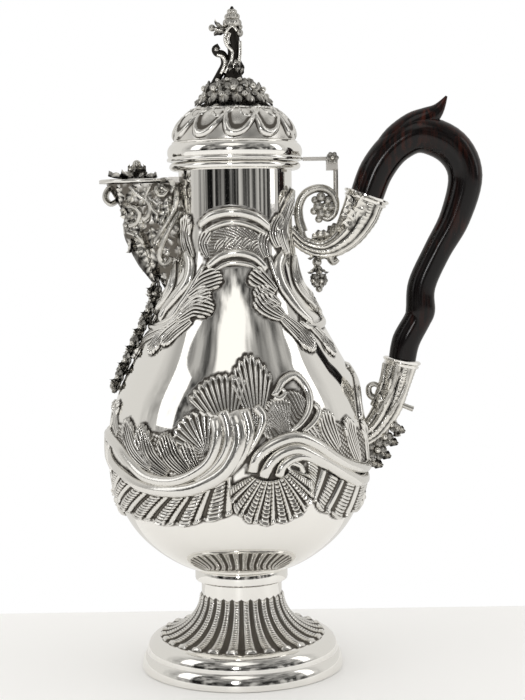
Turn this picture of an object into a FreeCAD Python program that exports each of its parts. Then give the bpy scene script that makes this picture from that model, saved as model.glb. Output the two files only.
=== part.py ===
"""Silver coffee pot: pear-shaped vessel on a spool foot, hinged lid, hinged spout flap, wooden grip.

Millimetres, +Z up, origin on the table at the pot's axis. +X is the handle side, -X the spout side.
"""
import FreeCAD, Part
import os
import re

import Sketcher

V = FreeCAD.Vector
doc = FreeCAD.newDocument("CoffeePot")
pieces = []

# Driving dimensions in millimetres, degrees or a count
SIZES = {
    # Foot
    "foot_ring_radius": 46.2,
    "foot_ring_height": 7.3,
    "foot_step_radius": 43.2,
    "foot_step_height": 7.3,
    "foot_wall": 1.6,
    "trumpet_radius": 38.4,
    "trumpet_height": 18.8,
    "stem_radius": 18.4,
    "stem_height": 7.6,
    "collar_radius": 21.2,
    "collar_height": 5.0,
    "collar_bore": 12.0,
    # Vessel: the heights stack from the collar up to the mouth
    "wall": 1.1,
    "solder_gap": 0.05,
    "bottom_radius": 20.0,
    "bottom_turn": 5.5,
    "belly_radius": 58.3,
    "belly_fullness": 1.4,
    "bowl_inset": 11.0,
    "belly_inset": 1.8,
    "neck_radius": 25.5,
    "shoulder_outset": 16.0,
    "bowl_height": 13.5,
    "low_belly_height": 27.9,
    "high_belly_height": 38.9,
    "shoulder_height": 23.4,
    "neck_curve_height": 34.6,
    "neck_foot_height": 20.7,
    "neck_straight": 25.0,
    "mouth_rim_width": 3.7,
    "mouth_rim_height": 3.8,
    "strainer_hole_radius": 1.3,
    "strainer_pitch": 4.4,
    "strainer_drop": 22.0,
    # Raised scrolls and shells of the vessel
    "wave_radius": 4.2,
    "wave_sink": 0.8,
    "shell_radius": 13.0,
    "shell_sink": 9.5,
    "neck_scroll_radius": 3.0,
    "neck_scroll_sink": 0.9,
    # Lid
    "lid_gap": 0.3,
    "lid_wall": 1.0,
    "bezel_clearance": 0.9,
    "bezel_drop": 6.0,
    "flange_overhang": 5.1,
    "flange_height": 8.9,
    "flange_lip": 1.4,
    "dome_inset": 3.3,
    "dome_height": 17.2,
    "stud_radius": 1.5,
    "stud_fit": 0.1,
    "nut_radius": 3.6,
    "nut_height": 3.0,
    "washer_radius": 5.0,
    "washer_height": 0.8,
    # Finial
    "wreath_radius": 12.4,
    "wreath_height": 11.0,
    "wreath_lobe": 5.0,
    "wreath_count": 9,
    "finial_base_radius": 7.4,
    "finial_height": 22.6,
    "finial_waist": 2.6,
    "finial_loop": 4.0,
    "finial_wire": 1.2,
    "finial_flower": 3.4,
    "bud_radius": 3.5,
    "bud_height": 9.0,
    # Lid hinge
    "hinge_reach": 18.2,
    "knuckle_radius": 2.4,
    "knuckle_length": 3.8,
    "knuckle_gap": 0.3,
    "hinge_pin_radius": 0.9,
    "pin_fit": 0.05,
    "pin_head": 0.6,
    "arm_thickness": 1.6,
    "post_radius": 1.1,
    "post_offset": 1.7,
    "block_height": 2.4,
    # Upper bracket: reach is from the neck wall, drop is from the mouth
    "upper_reach": 33.7,
    "upper_drop": 16.1,
    "upper_tilt": 20.0,
    "upper_radius": 8.4,
    "bracket_reach": 37.5,
    "bracket_sag": 23.4,
    "bracket_waist": 4.0,
    "bracket_root": 2.6,
    "scroll_reach": 12.8,
    "scroll_drop": 23.0,
    "scroll_radius": 7.9,
    "scroll_wire": 1.6,
    "stay_radius": 1.2,
    "blossom_radius": 4.2,
    "pendant_length": 19.0,
    "pendant_radius": 3.4,
    # Lower bracket: reach is from the belly, rise is from the low belly level
    "lower_reach": 15.7,
    "lower_rise": 51.2,
    "lower_tilt": 11.0,
    "lower_radius": 6.8,
    "lower_arm_reach": 24.0,
    "lower_arm_drop": 37.6,
    "lower_root": 5.2,
    "rose_radius": 4.4,
    # Grip
    "ferrule_width": 1.3,
    "ferrule_height": 2.4,
    "ferrule_fit": 0.1,
    "upper_tenon": 5.2,
    "lower_tenon": 4.2,
    "tenon_length": 10.0,
    "tenon_fit": 0.1,
    "grip_pin_radius": 0.9,
    "grip_pin_depth": 5.0,
    "grip_reach": 44.6,
    "grip_rise": 27.4,
    "grip_arch": 8.2,
    "grip_shank": 6.4,
    "grip_flatness_ratio": 0.9,
    "spur_root": 4.2,
    "spur_tip": 1.2,
    # Spout
    "spout_reach": 32.6,
    "spout_height": 50.0,
    "spout_half_depth": 18.6,
    "spout_half_width": 12.5,
    "spout_wall": 1.2,
    "mask_height": 11.0,
    "mask_half_width": 7.0,
    "mask_depth": 7.5,
    "garland_bead": 3.4,
    "garland_count": 10,
    # Spout flap
    "flap_thickness": 1.6,
    "flap_half_width": 11.5,
    "flap_root": 5.5,
    "flap_overhang": 3.2,
    "flap_gap": 0.3,
    "flap_hinge_reach": 3.7,
    "flap_hinge_drop": 7.5,
    "flap_knuckle": 1.3,
    "flap_knuckle_length": 3.6,
    "flap_pin_radius": 0.6,
    "flap_bud_base": 4.6,
    "flap_bud_height": 10.4,
    "flap_bud_reach": 15.0,
}
sheet = doc.addObject("Spreadsheet::Sheet", "Sizes")
for row, (alias, value) in enumerate(SIZES.items(), start=1):
    sheet.set(f"A{row}", alias)
    sheet.set(f"B{row}", str(value))
    sheet.setAlias(f"B{row}", alias)
doc.recompute()


def expr(words):
    """Turns 'neck_radius + wall' into an expression that names the sheet's cells."""
    return re.sub(r"[a-z_]+", lambda m: f"Sizes.{m[0]}" if m[0] in SIZES else m[0], str(words))


def num(words):
    """The present value of an expression."""
    return float(sheet.evalExpression(expr(words)))


# Levels and places, as expressions in the sizes
RING_TOP = "(foot_ring_height + foot_step_height)"
STEM_FOOT = f"({RING_TOP} + trumpet_height)"
STEM_TOP = f"({STEM_FOOT} + stem_height)"
BASE = f"({STEM_TOP} + collar_height)"
BOWL = f"({BASE} + bowl_height)"
LOW_BELLY = f"({BOWL} + low_belly_height)"
HIGH_BELLY = f"({LOW_BELLY} + high_belly_height)"
SHOULDER = f"({HIGH_BELLY} + shoulder_height)"
NECK_CURVE = f"({SHOULDER} + neck_curve_height)"
NECK_FOOT = f"({NECK_CURVE} + neck_foot_height)"
MOUTH = f"({NECK_FOOT} + neck_straight)"
SEAT = f"({MOUTH} + lid_gap)"
FLANGE_RADIUS = "(neck_radius + flange_overhang)"
DOME_RADIUS = f"({FLANGE_RADIUS} - dome_inset)"
DOME_FOOT = f"({SEAT} + flange_height)"
CROWN = f"({DOME_FOOT} + dome_height)"
BEZEL_RADIUS = "(neck_radius - wall - bezel_clearance)"
WREATH_FOOT = f"({CROWN} + solder_gap)"
WREATH_TOP = f"({WREATH_FOOT} + wreath_height)"
BUD_FOOT = f"({WREATH_TOP} + finial_height)"
HINGE_X = "(neck_radius + hinge_reach)"
HINGE_Z = f"({SEAT} + arm_thickness / 2)"
FLAP_X = "(-neck_radius - flap_hinge_reach)"
FLAP_Z = f"({MOUTH} - flap_hinge_drop)"
FLAP_FLOOR = f"({FLAP_Z} - flap_knuckle)"
SPOUT_TOP = f"({FLAP_FLOOR} - flap_gap)"
UPPER_X = "(neck_radius + upper_reach)"
UPPER_Z = f"({MOUTH} - upper_drop)"
SCROLL_X = "(neck_radius + scroll_reach)"
SCROLL_Z = f"({MOUTH} - scroll_drop)"
LOWER_X = "(belly_radius + lower_reach)"
LOWER_Z = f"({LOW_BELLY} + lower_rise)"


def bind(obj, **sizes):
    """Ties an object's properties to expressions."""
    for prop, words in sizes.items():
        obj.setExpression(prop, expr(words))
    return obj


def place(obj, x=0, y=0, z=0, tilt=None, across=False):
    """Puts an object at a point; tilt leans +Z towards +X, across lays +Z along +Y."""
    turn = FreeCAD.Rotation(V(0, 1, 0), num(tilt or 0))
    if across:
        turn = FreeCAD.Rotation(V(1, 0, 0), -90)
    obj.Placement = FreeCAD.Placement(V(num(x), num(y), num(z)), turn)
    for axis, words in zip("xyz", (x, y, z)):
        obj.setExpression(f"Placement.Base.{axis}", expr(words))
    if tilt:
        obj.setExpression("Placement.Rotation.Angle", expr(tilt))
    return obj


def named(obj, label):
    """Registers a finished sub-part under its own name."""
    obj.Label = label
    pieces.append(obj)
    return obj


def outline(body, name, runs, role="XZ_Plane"):
    """A closed sketch of runs end to end: two points make a line, more are a curve's poles."""
    sketch = body.newObject("Sketcher::SketchObject", name)
    plane = next(f for f in body.Origin.OriginFeatures if f.Role == role)
    sketch.AttachmentSupport = [(plane, "")]
    sketch.MapMode = "FlatFace"
    doc.recompute()

    def pin(geometry, vertex, point):
        for kind, axis, words in zip(("DistanceX", "DistanceY"), (-2, -1), point):
            if str(words) == "0":
                sketch.addConstraint(Sketcher.Constraint("PointOnObject", geometry, vertex, axis))
                continue
            index = sketch.addConstraint(
                Sketcher.Constraint(kind, -1, 1, geometry, vertex, num(words)))
            sketch.setExpression(f"Constraints[{index}]", expr(words))

    edges = []
    for run in runs:
        spots = [V(num(x), num(y), 0) for x, y in run]
        if len(run) == 2:
            edges.append(sketch.addGeometry(Part.LineSegment(*spots)))
            continue
        curve = Part.BSplineCurve()
        curve.buildFromPoles(spots, False, 3)
        edges.append(sketch.addGeometry(curve))
        first_pole = sketch.GeometryCount
        sketch.exposeInternalGeometry(edges[-1])
        for offset, point in enumerate(run):
            pin(first_pole + offset, 3, point)
    for index, run in enumerate(runs):
        before = runs[index - 1]
        if len(run) == 2 or len(before) == 2:
            sketch.addConstraint(Sketcher.Constraint("Coincident", edges[index - 1], 2, edges[index], 1))
        if len(run) == 2 and len(before) == 2:
            pin(edges[index], 1, run[0])
    return sketch


def spun(name, runs):
    """A body turned about its own Z axis from an outline of (radius, height) points."""
    body = doc.addObject("PartDesign::Body", name)
    sketch = outline(body, name + "_outline", runs)
    turned = body.newObject("PartDesign::Revolution", name + "_turned")
    turned.Profile = (sketch, [""])
    turned.ReferenceAxis = (sketch, ["V_Axis"])
    turned.Angle = 360
    doc.recompute()
    return body


def padded(name, runs, thickness):
    """A plate of the given thickness from an outline in the XY plane."""
    body = doc.addObject("PartDesign::Body", name)
    sketch = outline(body, name + "_outline", runs, "XY_Plane")
    pad = body.newObject("PartDesign::Pad", name + "_pad")
    pad.Profile = (sketch, [""])
    bind(pad, Length=thickness)
    doc.recompute()
    return body


def loop(*points):
    """Straight runs round a list of points, back to the first."""
    return [[a, b] for a, b in zip(points, points[1:] + points[:1])]


def rod(name, radius, length, **where):
    return place(bind(doc.addObject("Part::Cylinder", name), Radius=radius, Height=length), **where)


def cross_rod(name, radius, half_length, x, z):
    """A rod along Y, centred on the pot's plane of symmetry."""
    return rod(name, radius, f"2 * ({half_length})", x=x, y=f"-({half_length})", z=z, across=True)


def block(name, x, y, z):
    """A box from (low, high) pairs."""
    box = bind(doc.addObject("Part::Box", name), **{
        prop: f"({high}) - ({low})" for prop, (low, high) in zip(("Length", "Width", "Height"), (x, y, z))})
    return place(box, x[0], y[0], z[0])


def ball(name, radius, x, y, z):
    return place(bind(doc.addObject("Part::Sphere", name), Radius=radius), x, y, z)


def ring_across(name, radius, wire, x, z):
    ring = bind(doc.addObject("Part::Torus", name), Radius1=radius, Radius2=wire)
    return place(ring, x, 0, z, across=True)


def loft(name, sections):
    """A solid through ellipses given as (x, z, half width, half depth, tilt)."""
    rings = []
    for x, z, half, depth, tilt in sections:
        ring = bind(doc.addObject("Part::Ellipse", name + "_section"), MajorRadius=half, MinorRadius=depth)
        rings.append(place(ring, x, 0, z, tilt=tilt))
    solid = doc.addObject("Part::Loft", name)
    solid.Sections = rings
    solid.Solid = True
    return solid


def fuse(name, *shapes):
    joined = doc.addObject("Part::MultiFuse", name)
    joined.Shapes = list(shapes)
    return joined


def cut(name, base, *tools):
    for tool in tools:
        trimmed = doc.addObject("Part::Cut", name if tool is tools[-1] else name + "_trimmed")
        trimmed.Base = base
        trimmed.Tool = tool
        base = trimmed
    return base


def blossom(name, radius, x, z, petals=6):
    """A flower of round petals about a core, facing both sides of the pot."""
    parts = [ball(name + "_core", f"0.7 * ({radius})", x, 0, z)]
    for index in range(petals):
        angle = f"({index} * 360 deg / {petals})"
        parts.append(ball(name + "_petal", f"0.5 * ({radius})",
                          f"{x} + 0.65 * ({radius}) * cos({angle})", 0,
                          f"{z} + 0.65 * ({radius}) * sin({angle})"))
    return fuse(name, *parts)


def vessel_curve(out):
    """Poles of the vessel's wall, moved outwards by the given amount."""
    return [
        ("bottom_radius", f"{BASE} - ({out})"),
        (f"bottom_radius + bottom_turn + 0.4 * ({out})", f"{BASE} - ({out})"),
        (f"belly_radius + belly_fullness - bowl_inset + 0.8 * ({out})", f"{BOWL} - 0.7 * ({out})"),
        (f"belly_radius + belly_fullness + ({out})", f"{LOW_BELLY} - 0.2 * ({out})"),
        (f"belly_radius + belly_fullness - belly_inset + ({out})", f"{HIGH_BELLY} + 0.3 * ({out})"),
        (f"neck_radius + shoulder_outset + 0.9 * ({out})", f"{SHOULDER} + 0.5 * ({out})"),
        (f"neck_radius + ({out})", f"{NECK_CURVE} + 0.3 * ({out})"),
        (f"neck_radius + ({out})", NECK_FOOT),
    ]


def solid_of_vessel(name, out):
    """The filled vessel, used to trim what is soldered to its wall."""
    curve = vessel_curve(out)
    top = [(f"neck_radius + ({out})", MOUTH), ("0", MOUTH)]
    foot = ("0", curve[0][1])
    return spun(name, [curve, [curve[-1], top[0]], top, [top[1], foot], [foot, curve[0]]])


vessel_face = solid_of_vessel("vessel_face", "solder_gap")


def make_foot():
    rim = "(foot_ring_radius - 2 * foot_wall)"
    step = "(foot_step_radius - 2 * foot_wall)"
    lip = "(trumpet_radius - 2 * foot_wall)"
    named(spun("foot_ring", [
        [(rim, "0"), ("foot_ring_radius", "0")],
        [("foot_ring_radius", "0"), ("foot_ring_radius", "foot_ring_height / 2")],
        [("foot_ring_radius", "foot_ring_height / 2"), ("foot_ring_radius", "foot_ring_height"),
         ("foot_step_radius", "0.8 * foot_ring_height"), ("foot_step_radius", "foot_ring_height")],
        [("foot_step_radius", "foot_ring_height"),
         ("foot_step_radius", "foot_ring_height + 0.8 * foot_step_height"),
         ("trumpet_radius + foot_wall", RING_TOP), ("trumpet_radius", RING_TOP)],
        [("trumpet_radius", RING_TOP), (lip, RING_TOP)],
        [(lip, RING_TOP), (step, "foot_ring_height")],
        [(step, "foot_ring_height"), (rim, "0")],
    ]), "foot_ring")

    def flare(inset):
        return [
            (f"trumpet_radius - {inset}", RING_TOP),
            (f"0.43 * trumpet_radius + 0.57 * stem_radius - {inset}", f"{RING_TOP} + 0.05 * trumpet_height"),
            (f"stem_radius - {inset}", f"{RING_TOP} + 0.5 * trumpet_height"),
            (f"stem_radius - {inset}", STEM_FOOT),
            (f"stem_radius - {inset}", STEM_TOP),
        ]
    outer = flare("0 * foot_wall")
    inner = flare("foot_wall")[::-1]
    named(spun("foot_trumpet", [outer, [outer[-1], inner[0]], inner, [inner[-1], outer[0]]]), "foot_trumpet")
    named(spun("foot_collar", [
        [("collar_bore", STEM_TOP), ("stem_radius", STEM_TOP)],
        [("stem_radius", STEM_TOP), ("collar_radius", f"{STEM_TOP} + 0.1 * collar_height"),
         ("collar_radius", f"{BASE} - 0.1 * collar_height"), ("stem_radius", BASE)],
        [("stem_radius", BASE), ("collar_bore", BASE)],
        [("collar_bore", BASE), ("collar_bore", STEM_TOP)],
    ]), "foot_collar")


def make_vessel():
    outer = vessel_curve("0 * wall")
    inner = vessel_curve("-wall")[::-1]
    lip = [("neck_radius", MOUTH), ("neck_radius - wall", MOUTH)]
    floor = [("0", inner[-1][1]), ("0", BASE)]
    body = spun("body_shell", [
        outer, [outer[-1], lip[0]], lip, [lip[1], inner[0]], inner,
        [inner[-1], floor[0]], floor, [floor[1], outer[0]]])
    holes = body.newObject("Sketcher::SketchObject", "strainer_holes")
    plane = next(f for f in body.Origin.OriginFeatures if f.Role == "YZ_Plane")
    holes.AttachmentSupport = [(plane, "")]
    holes.MapMode = "FlatFace"
    spots = [("0", f"{MOUTH} - strainer_drop")]
    for index in range(6):
        angle = f"({index} * 60 deg + 30 deg)"
        spots.append((f"strainer_pitch * cos({angle})",
                      f"{MOUTH} - strainer_drop + strainer_pitch * sin({angle})"))
    for across, up in spots:
        ring = Part.Circle(V(num(across), num(up), 0), V(0, 0, 1), num("strainer_hole_radius"))
        hole = holes.addGeometry(ring)
        for kind, words in (("DistanceX", across), ("DistanceY", up)):
            if abs(num(words)) < 1e-6:
                holes.addConstraint(Sketcher.Constraint("PointOnObject", hole, 3, -2))
                continue
            index = holes.addConstraint(Sketcher.Constraint(kind, -1, 1, hole, 3, num(words)))
            holes.setExpression(f"Constraints[{index}]", expr(words))
        index = holes.addConstraint(Sketcher.Constraint("Radius", hole, num("strainer_hole_radius")))
        holes.setExpression(f"Constraints[{index}]", expr("strainer_hole_radius"))
    doc.recompute()
    pocket = body.newObject("PartDesign::Pocket", "strainer")
    pocket.Profile = (holes, [""])
    pocket.Type = "ThroughAll"
    named(body, "body_shell")
    rim_foot = f"({MOUTH} - mouth_rim_height)"
    bore = "(neck_radius + solder_gap)"
    brim = "(neck_radius + mouth_rim_width)"
    named(spun("mouth_rim", [
        [(bore, rim_foot), ("neck_radius + 0.4 * mouth_rim_width", rim_foot)],
        [("neck_radius + 0.4 * mouth_rim_width", rim_foot), (brim, rim_foot),
         (brim, f"{MOUTH} - 0.6 * mouth_rim_height"), (brim, f"{MOUTH} - 0.3 * mouth_rim_height")],
        [(brim, f"{MOUTH} - 0.3 * mouth_rim_height"), (brim, MOUTH)],
        [(brim, MOUTH), (bore, MOUTH)],
        [(bore, MOUTH), (bore, rim_foot)],
    ]), "mouth_rim")


def make_lid():
    bore = f"({BEZEL_RADIUS} + solder_gap)"

    def brow(inset):
        return [
            (f"{FLANGE_RADIUS} - {inset}", f"{SEAT} + flange_lip"),
            (f"{FLANGE_RADIUS} - {inset}", f"{SEAT} + 0.6 * flange_height"),
            (f"{DOME_RADIUS} + dome_inset / 2 - {inset}", DOME_FOOT),
            (f"{DOME_RADIUS} - {inset}", DOME_FOOT),
        ]
    outer = brow("0 * lid_wall")
    inner = brow("lid_wall")[::-1]
    ledge = f"{SEAT} + lid_wall"
    named(spun("lid_flange", [
        [(bore, SEAT), (FLANGE_RADIUS, SEAT)],
        [(FLANGE_RADIUS, SEAT), outer[0]],
        outer,
        [outer[-1], inner[0]],
        inner,
        [inner[-1], (f"{FLANGE_RADIUS} - lid_wall", ledge)],
        [(f"{FLANGE_RADIUS} - lid_wall", ledge), (bore, ledge)],
        [(bore, ledge), (bore, SEAT)],
    ]), "lid_flange")
    named(spun("lid_bezel", loop(
        (BEZEL_RADIUS, f"{MOUTH} - bezel_drop"), (BEZEL_RADIUS, ledge),
        (f"{BEZEL_RADIUS} - lid_wall", ledge), (f"{BEZEL_RADIUS} - lid_wall", f"{MOUTH} - bezel_drop"),
    )), "lid_bezel")

    hole = "(stud_radius + stud_fit)"

    def bell(inset):
        return [
            (f"{DOME_RADIUS} - {inset}", DOME_FOOT),
            (f"{DOME_RADIUS} - {inset}", f"{DOME_FOOT} + 0.3 * dome_height"),
            (f"0.8 * {DOME_RADIUS} - {inset}", f"{DOME_FOOT} + 0.75 * dome_height - {inset}"),
            (f"0.45 * {DOME_RADIUS}", f"{CROWN} - {inset}"),
            (hole, f"{CROWN} - {inset}"),
        ]
    outer = bell("0 * lid_wall")
    inner = bell("lid_wall")[::-1]
    dome = spun("lid_dome", [outer, [outer[-1], inner[0]], inner, [inner[-1], outer[0]]])
    named(dome, "lid_dome")
    return dome


def make_finial(dome):
    hole = "(stud_radius + stud_fit)"
    core = spun("finial_wreath", [
        [(hole, WREATH_FOOT), ("0.75 * wreath_radius", WREATH_FOOT)],
        [("0.75 * wreath_radius", WREATH_FOOT), ("wreath_radius", f"{WREATH_FOOT} + 0.5 * wreath_height"),
         ("0.6 * wreath_radius", WREATH_TOP), ("finial_base_radius", WREATH_TOP)],
        [("finial_base_radius", WREATH_TOP), (hole, WREATH_TOP)],
        [(hole, WREATH_TOP), (hole, WREATH_FOOT)],
    ])
    lobe = core.newObject("PartDesign::AdditiveSphere", "wreath_lobe")
    bind(lobe, Radius="wreath_lobe")
    place(lobe, "wreath_radius", 0, f"{WREATH_FOOT} + wreath_lobe + lid_gap")
    doc.recompute()
    round_axis = next(f for f in core.Origin.OriginFeatures if f.Role == "Z_Axis")
    lobes = core.newObject("PartDesign::PolarPattern", "wreath_lobes")
    lobes.Originals = [lobe]
    lobes.Axis = (round_axis, [""])
    lobes.Angle = 360
    bind(lobes, Occurrences="wreath_count")
    core.Tip = lobes
    doc.recompute()
    named(core, "finial_wreath")

    washer_top = f"({CROWN} - lid_wall)"
    nut_top = f"({washer_top} - washer_height)"
    nut_foot = f"({nut_top} - nut_height)"
    base_top = f"({WREATH_TOP} + 0.2 * finial_height)"
    stem = spun("finial_turning", [
        [("0", nut_foot), ("stud_radius", nut_foot)],
        [("stud_radius", nut_foot), ("stud_radius", WREATH_TOP)],
        [("stud_radius", WREATH_TOP), ("finial_base_radius", WREATH_TOP)],
        [("finial_base_radius", WREATH_TOP), ("finial_base_radius", base_top),
         ("finial_waist", base_top), ("finial_waist", f"{WREATH_TOP} + 0.5 * finial_height"),
         ("finial_waist", BUD_FOOT)],
        [("finial_waist", BUD_FOOT), ("0", BUD_FOOT)],
        [("0", BUD_FOOT), ("0", nut_foot)],
    ])
    side_scroll = ring_across("finial_side_scroll", "finial_loop", "finial_wire",
                              "-finial_waist - 0.5 * finial_loop", f"{WREATH_TOP} + 0.55 * finial_height")
    flower = ball("finial_side_flower", "finial_flower", "-finial_waist - finial_flower + lid_wall", 0,
                  f"{BUD_FOOT} - finial_flower")
    knob = ball("finial_knob", "0.7 * finial_flower", "finial_waist + lid_wall", 0,
                f"{BUD_FOOT} - 2 * finial_flower")
    named(fuse("finial_stem", stem, side_scroll, flower, knob), "finial_stem")
    named(spun("finial_bud", [
        [("0", BUD_FOOT), ("finial_waist", BUD_FOOT)],
        [("finial_waist", BUD_FOOT), ("1.3 * bud_radius", f"{BUD_FOOT} + 0.2 * bud_height"),
         ("1.1 * bud_radius", f"{BUD_FOOT} + 0.8 * bud_height"), ("0", f"{BUD_FOOT} + bud_height")],
        [("0", f"{BUD_FOOT} + bud_height"), ("0", BUD_FOOT)],
    ]), "finial_bud")
    disc = spun("washer_disc", loop((hole, nut_top), ("washer_radius", nut_top),
                                    ("washer_radius", washer_top), (hole, washer_top)))
    named(cut("finial_washer", disc, dome), "finial_washer")
    named(spun("finial_nut", loop((hole, nut_foot), ("nut_radius", nut_foot),
                                  ("nut_radius", nut_top), (hole, nut_top))), "finial_nut")


def make_lid_hinge():
    half = "knuckle_length / 2"
    clear = f"({half} + knuckle_gap)"
    outside = f"({clear} + knuckle_length)"
    bore = cross_rod("hinge_bore", "hinge_pin_radius + pin_fit", f"{outside} + wall", HINGE_X, HINGE_Z)
    arm = block("lid_arm", (f"{FLANGE_RADIUS} + solder_gap", HINGE_X), (f"-{half}", half),
                (SEAT, f"{SEAT} + arm_thickness"))
    knuckle = cross_rod("lid_knuckle", "knuckle_radius", half, HINGE_X, HINGE_Z)
    named(cut("lid_hinge_arm", fuse("lid_arm_joined", arm, knuckle), bore), "lid_hinge_arm")

    block_top = f"({HINGE_Z} - knuckle_radius - knuckle_gap)"
    block_foot = f"({block_top} - block_height)"
    parts = [
        block("post_block", (f"{HINGE_X} - knuckle_radius", f"{HINGE_X} + knuckle_radius"),
              (f"-{outside}", outside), (block_foot, block_top)),
        rod("post_rod", "post_radius", f"{block_foot} - {SCROLL_Z} - scroll_radius / 2 + wall",
            x=f"{HINGE_X} + post_offset", z=f"{SCROLL_Z} + scroll_radius / 2"),
    ]
    for side in (-1, 1):
        low, high = sorted((f"{side} * {clear}", f"{side} * {outside}"), key=num)
        parts.append(block("post_ear", (f"{HINGE_X} - knuckle_radius", f"{HINGE_X} + knuckle_radius"),
                           (low, high), (f"{block_top} - wall", HINGE_Z)))
        parts.append(rod("post_knuckle", "knuckle_radius", "knuckle_length",
                         x=HINGE_X, y=low, z=HINGE_Z, across=True))
    scroll_face = ring_across("scroll_face", "scroll_radius", "scroll_wire + solder_gap", SCROLL_X, SCROLL_Z)
    named(cut("hinge_post", fuse("hinge_post_joined", *parts), bore, scroll_face), "hinge_post")
    named(cross_rod("lid_hinge_pin", "hinge_pin_radius", f"{outside} + pin_head", HINGE_X, HINGE_Z),
          "lid_hinge_pin")
    return scroll_face


def socket(tilt, x, z):
    """Axis of a grip socket: a point at a depth below its rim, along its tilt."""
    def below(depth):
        return f"{x} - ({depth}) * sin({tilt} * 1 deg)", f"{z} - ({depth}) * cos({tilt} * 1 deg)"
    return below


upper_axis = socket("upper_tilt", UPPER_X, UPPER_Z)
lower_axis = socket("lower_tilt", LOWER_X, LOWER_Z)


def fasten(label, axis, tilt, radius, tenon):
    """The ferrule, pin and bore of one grip socket, and the tenon that the grip gets there."""
    x, z = axis("tenon_length + tenon_fit")
    bore = rod(label + "_bore", f"{tenon} + tenon_fit", "2 * tenon_length", x=x, z=z, tilt=tilt)
    x, z = axis("tenon_length")
    peg = rod(label + "_tenon", tenon, "tenon_length + wall", x=x, z=z, tilt=tilt)
    x, z = axis("grip_pin_depth")
    drill = cross_rod(label + "_drill", "grip_pin_radius + pin_fit", f"2 * {radius}", x, z)
    pin = cross_rod(label + "_socket_pin", "grip_pin_radius", f"{radius} + pin_head", x, z)
    named(pin, label + "_socket_pin")
    x, z = axis("ferrule_height")
    band = spun(label + "_ferrule", loop(
        (f"{radius} + ferrule_fit", "0"), (f"{radius} + ferrule_fit + ferrule_width", "0"),
        (f"{radius} + ferrule_fit + ferrule_width", "ferrule_height"),
        (f"{radius} + ferrule_fit", "ferrule_height")))
    named(place(band, x, 0, z, tilt=tilt), label + "_ferrule")
    return bore, peg, drill


def make_upper_bracket(scroll_face):
    bore, peg, drill = fasten("upper", upper_axis, "upper_tilt", "upper_radius", "upper_tenon")
    sections = [
        # share of the reach inwards, share of the sag, radius, tilt
        (0, 0, "upper_radius", "upper_tilt"),
        (0.1, 0.4, "0.95 * upper_radius", "upper_tilt + 6"),
        (0.26, 0.765, "0.5 * upper_radius + 0.5 * bracket_waist", "upper_tilt + 28"),
        (0.51, 1, "bracket_waist", "upper_tilt + 62"),
        (0.75, 0.915, "bracket_root", "upper_tilt + 90"),
        (1, 0.535, "bracket_root", "upper_tilt + 120"),
    ]
    arm = loft("upper_arm", [
        (f"{UPPER_X} - {inward} * bracket_reach", f"{UPPER_Z} - {down} * bracket_sag", r, r, tilt)
        for inward, down, r, tilt in sections])
    named(cut("upper_bracket", arm, vessel_face, bore, drill), "upper_bracket")
    ring = ring_across("scroll_ring", "scroll_radius", "scroll_wire", SCROLL_X, SCROLL_Z)
    named(cut("upper_scroll", ring, arm), "upper_scroll")
    stay = rod("stay_rod", "stay_radius", "scroll_reach - scroll_radius + wall",
               x="neck_radius - wall", z=SCROLL_Z, tilt="90")
    named(cut("scroll_stay", stay, vessel_face, scroll_face), "scroll_stay")
    flower = blossom("scroll_flower", "blossom_radius", f"{SCROLL_X} + 0.35 * scroll_radius",
                     f"{SCROLL_Z} + 0.45 * scroll_radius")
    named(cut("scroll_blossom", flower, scroll_face), "scroll_blossom")
    drop = spun("pendant_drop", [
        [("0", "0"), ("0.4 * pendant_radius", "0")],
        [("0.4 * pendant_radius", "0"), ("0.4 * pendant_radius", "-0.16 * pendant_length"),
         ("1.2 * pendant_radius", "-0.2 * pendant_length"),
         ("1.2 * pendant_radius", "-0.45 * pendant_length"),
         ("0.2 * pendant_radius", "-0.5 * pendant_length"), ("1.3 * pendant_radius", "-0.6 * pendant_length"),
         ("1.2 * pendant_radius", "-0.9 * pendant_length"), ("0", "-pendant_length")],
        [("0", "-pendant_length"), ("0", "0")],
    ])
    place(drop, f"{UPPER_X} - 0.55 * bracket_reach", 0, f"{UPPER_Z} - 1.06 * bracket_sag")
    named(cut("bracket_pendant", drop, arm), "bracket_pendant")
    return peg, drill


def make_lower_bracket():
    bore, peg, drill = fasten("lower", lower_axis, "lower_tilt", "lower_radius", "lower_tenon")
    sections = [
        # share of the reach inwards, share of the drop, radius, tilt
        (0, 0, "lower_radius", "lower_tilt"),
        (0.125, 0.28, "0.7 * lower_radius + 0.3 * lower_root", "lower_tilt + 6"),
        (0.27, 0.55, "0.5 * lower_radius + 0.5 * lower_root", "lower_tilt + 16"),
        (0.54, 0.815, "lower_root", "lower_tilt + 35"),
        (1, 1, "lower_root", "lower_tilt + 47"),
    ]
    arm = loft("lower_arm", [
        (f"{LOWER_X} - {inward} * lower_arm_reach", f"{LOWER_Z} - {down} * lower_arm_drop", r, r, tilt)
        for inward, down, r, tilt in sections])
    named(cut("lower_bracket", arm, vessel_face, bore, drill), "lower_bracket")
    flower = blossom("rose", "rose_radius", "belly_radius + rose_radius + wall",
                     f"{LOWER_Z} - 1.04 * lower_arm_drop")
    named(cut("lower_rose", flower, vessel_face, arm), "lower_rose")
    return peg, drill


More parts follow.
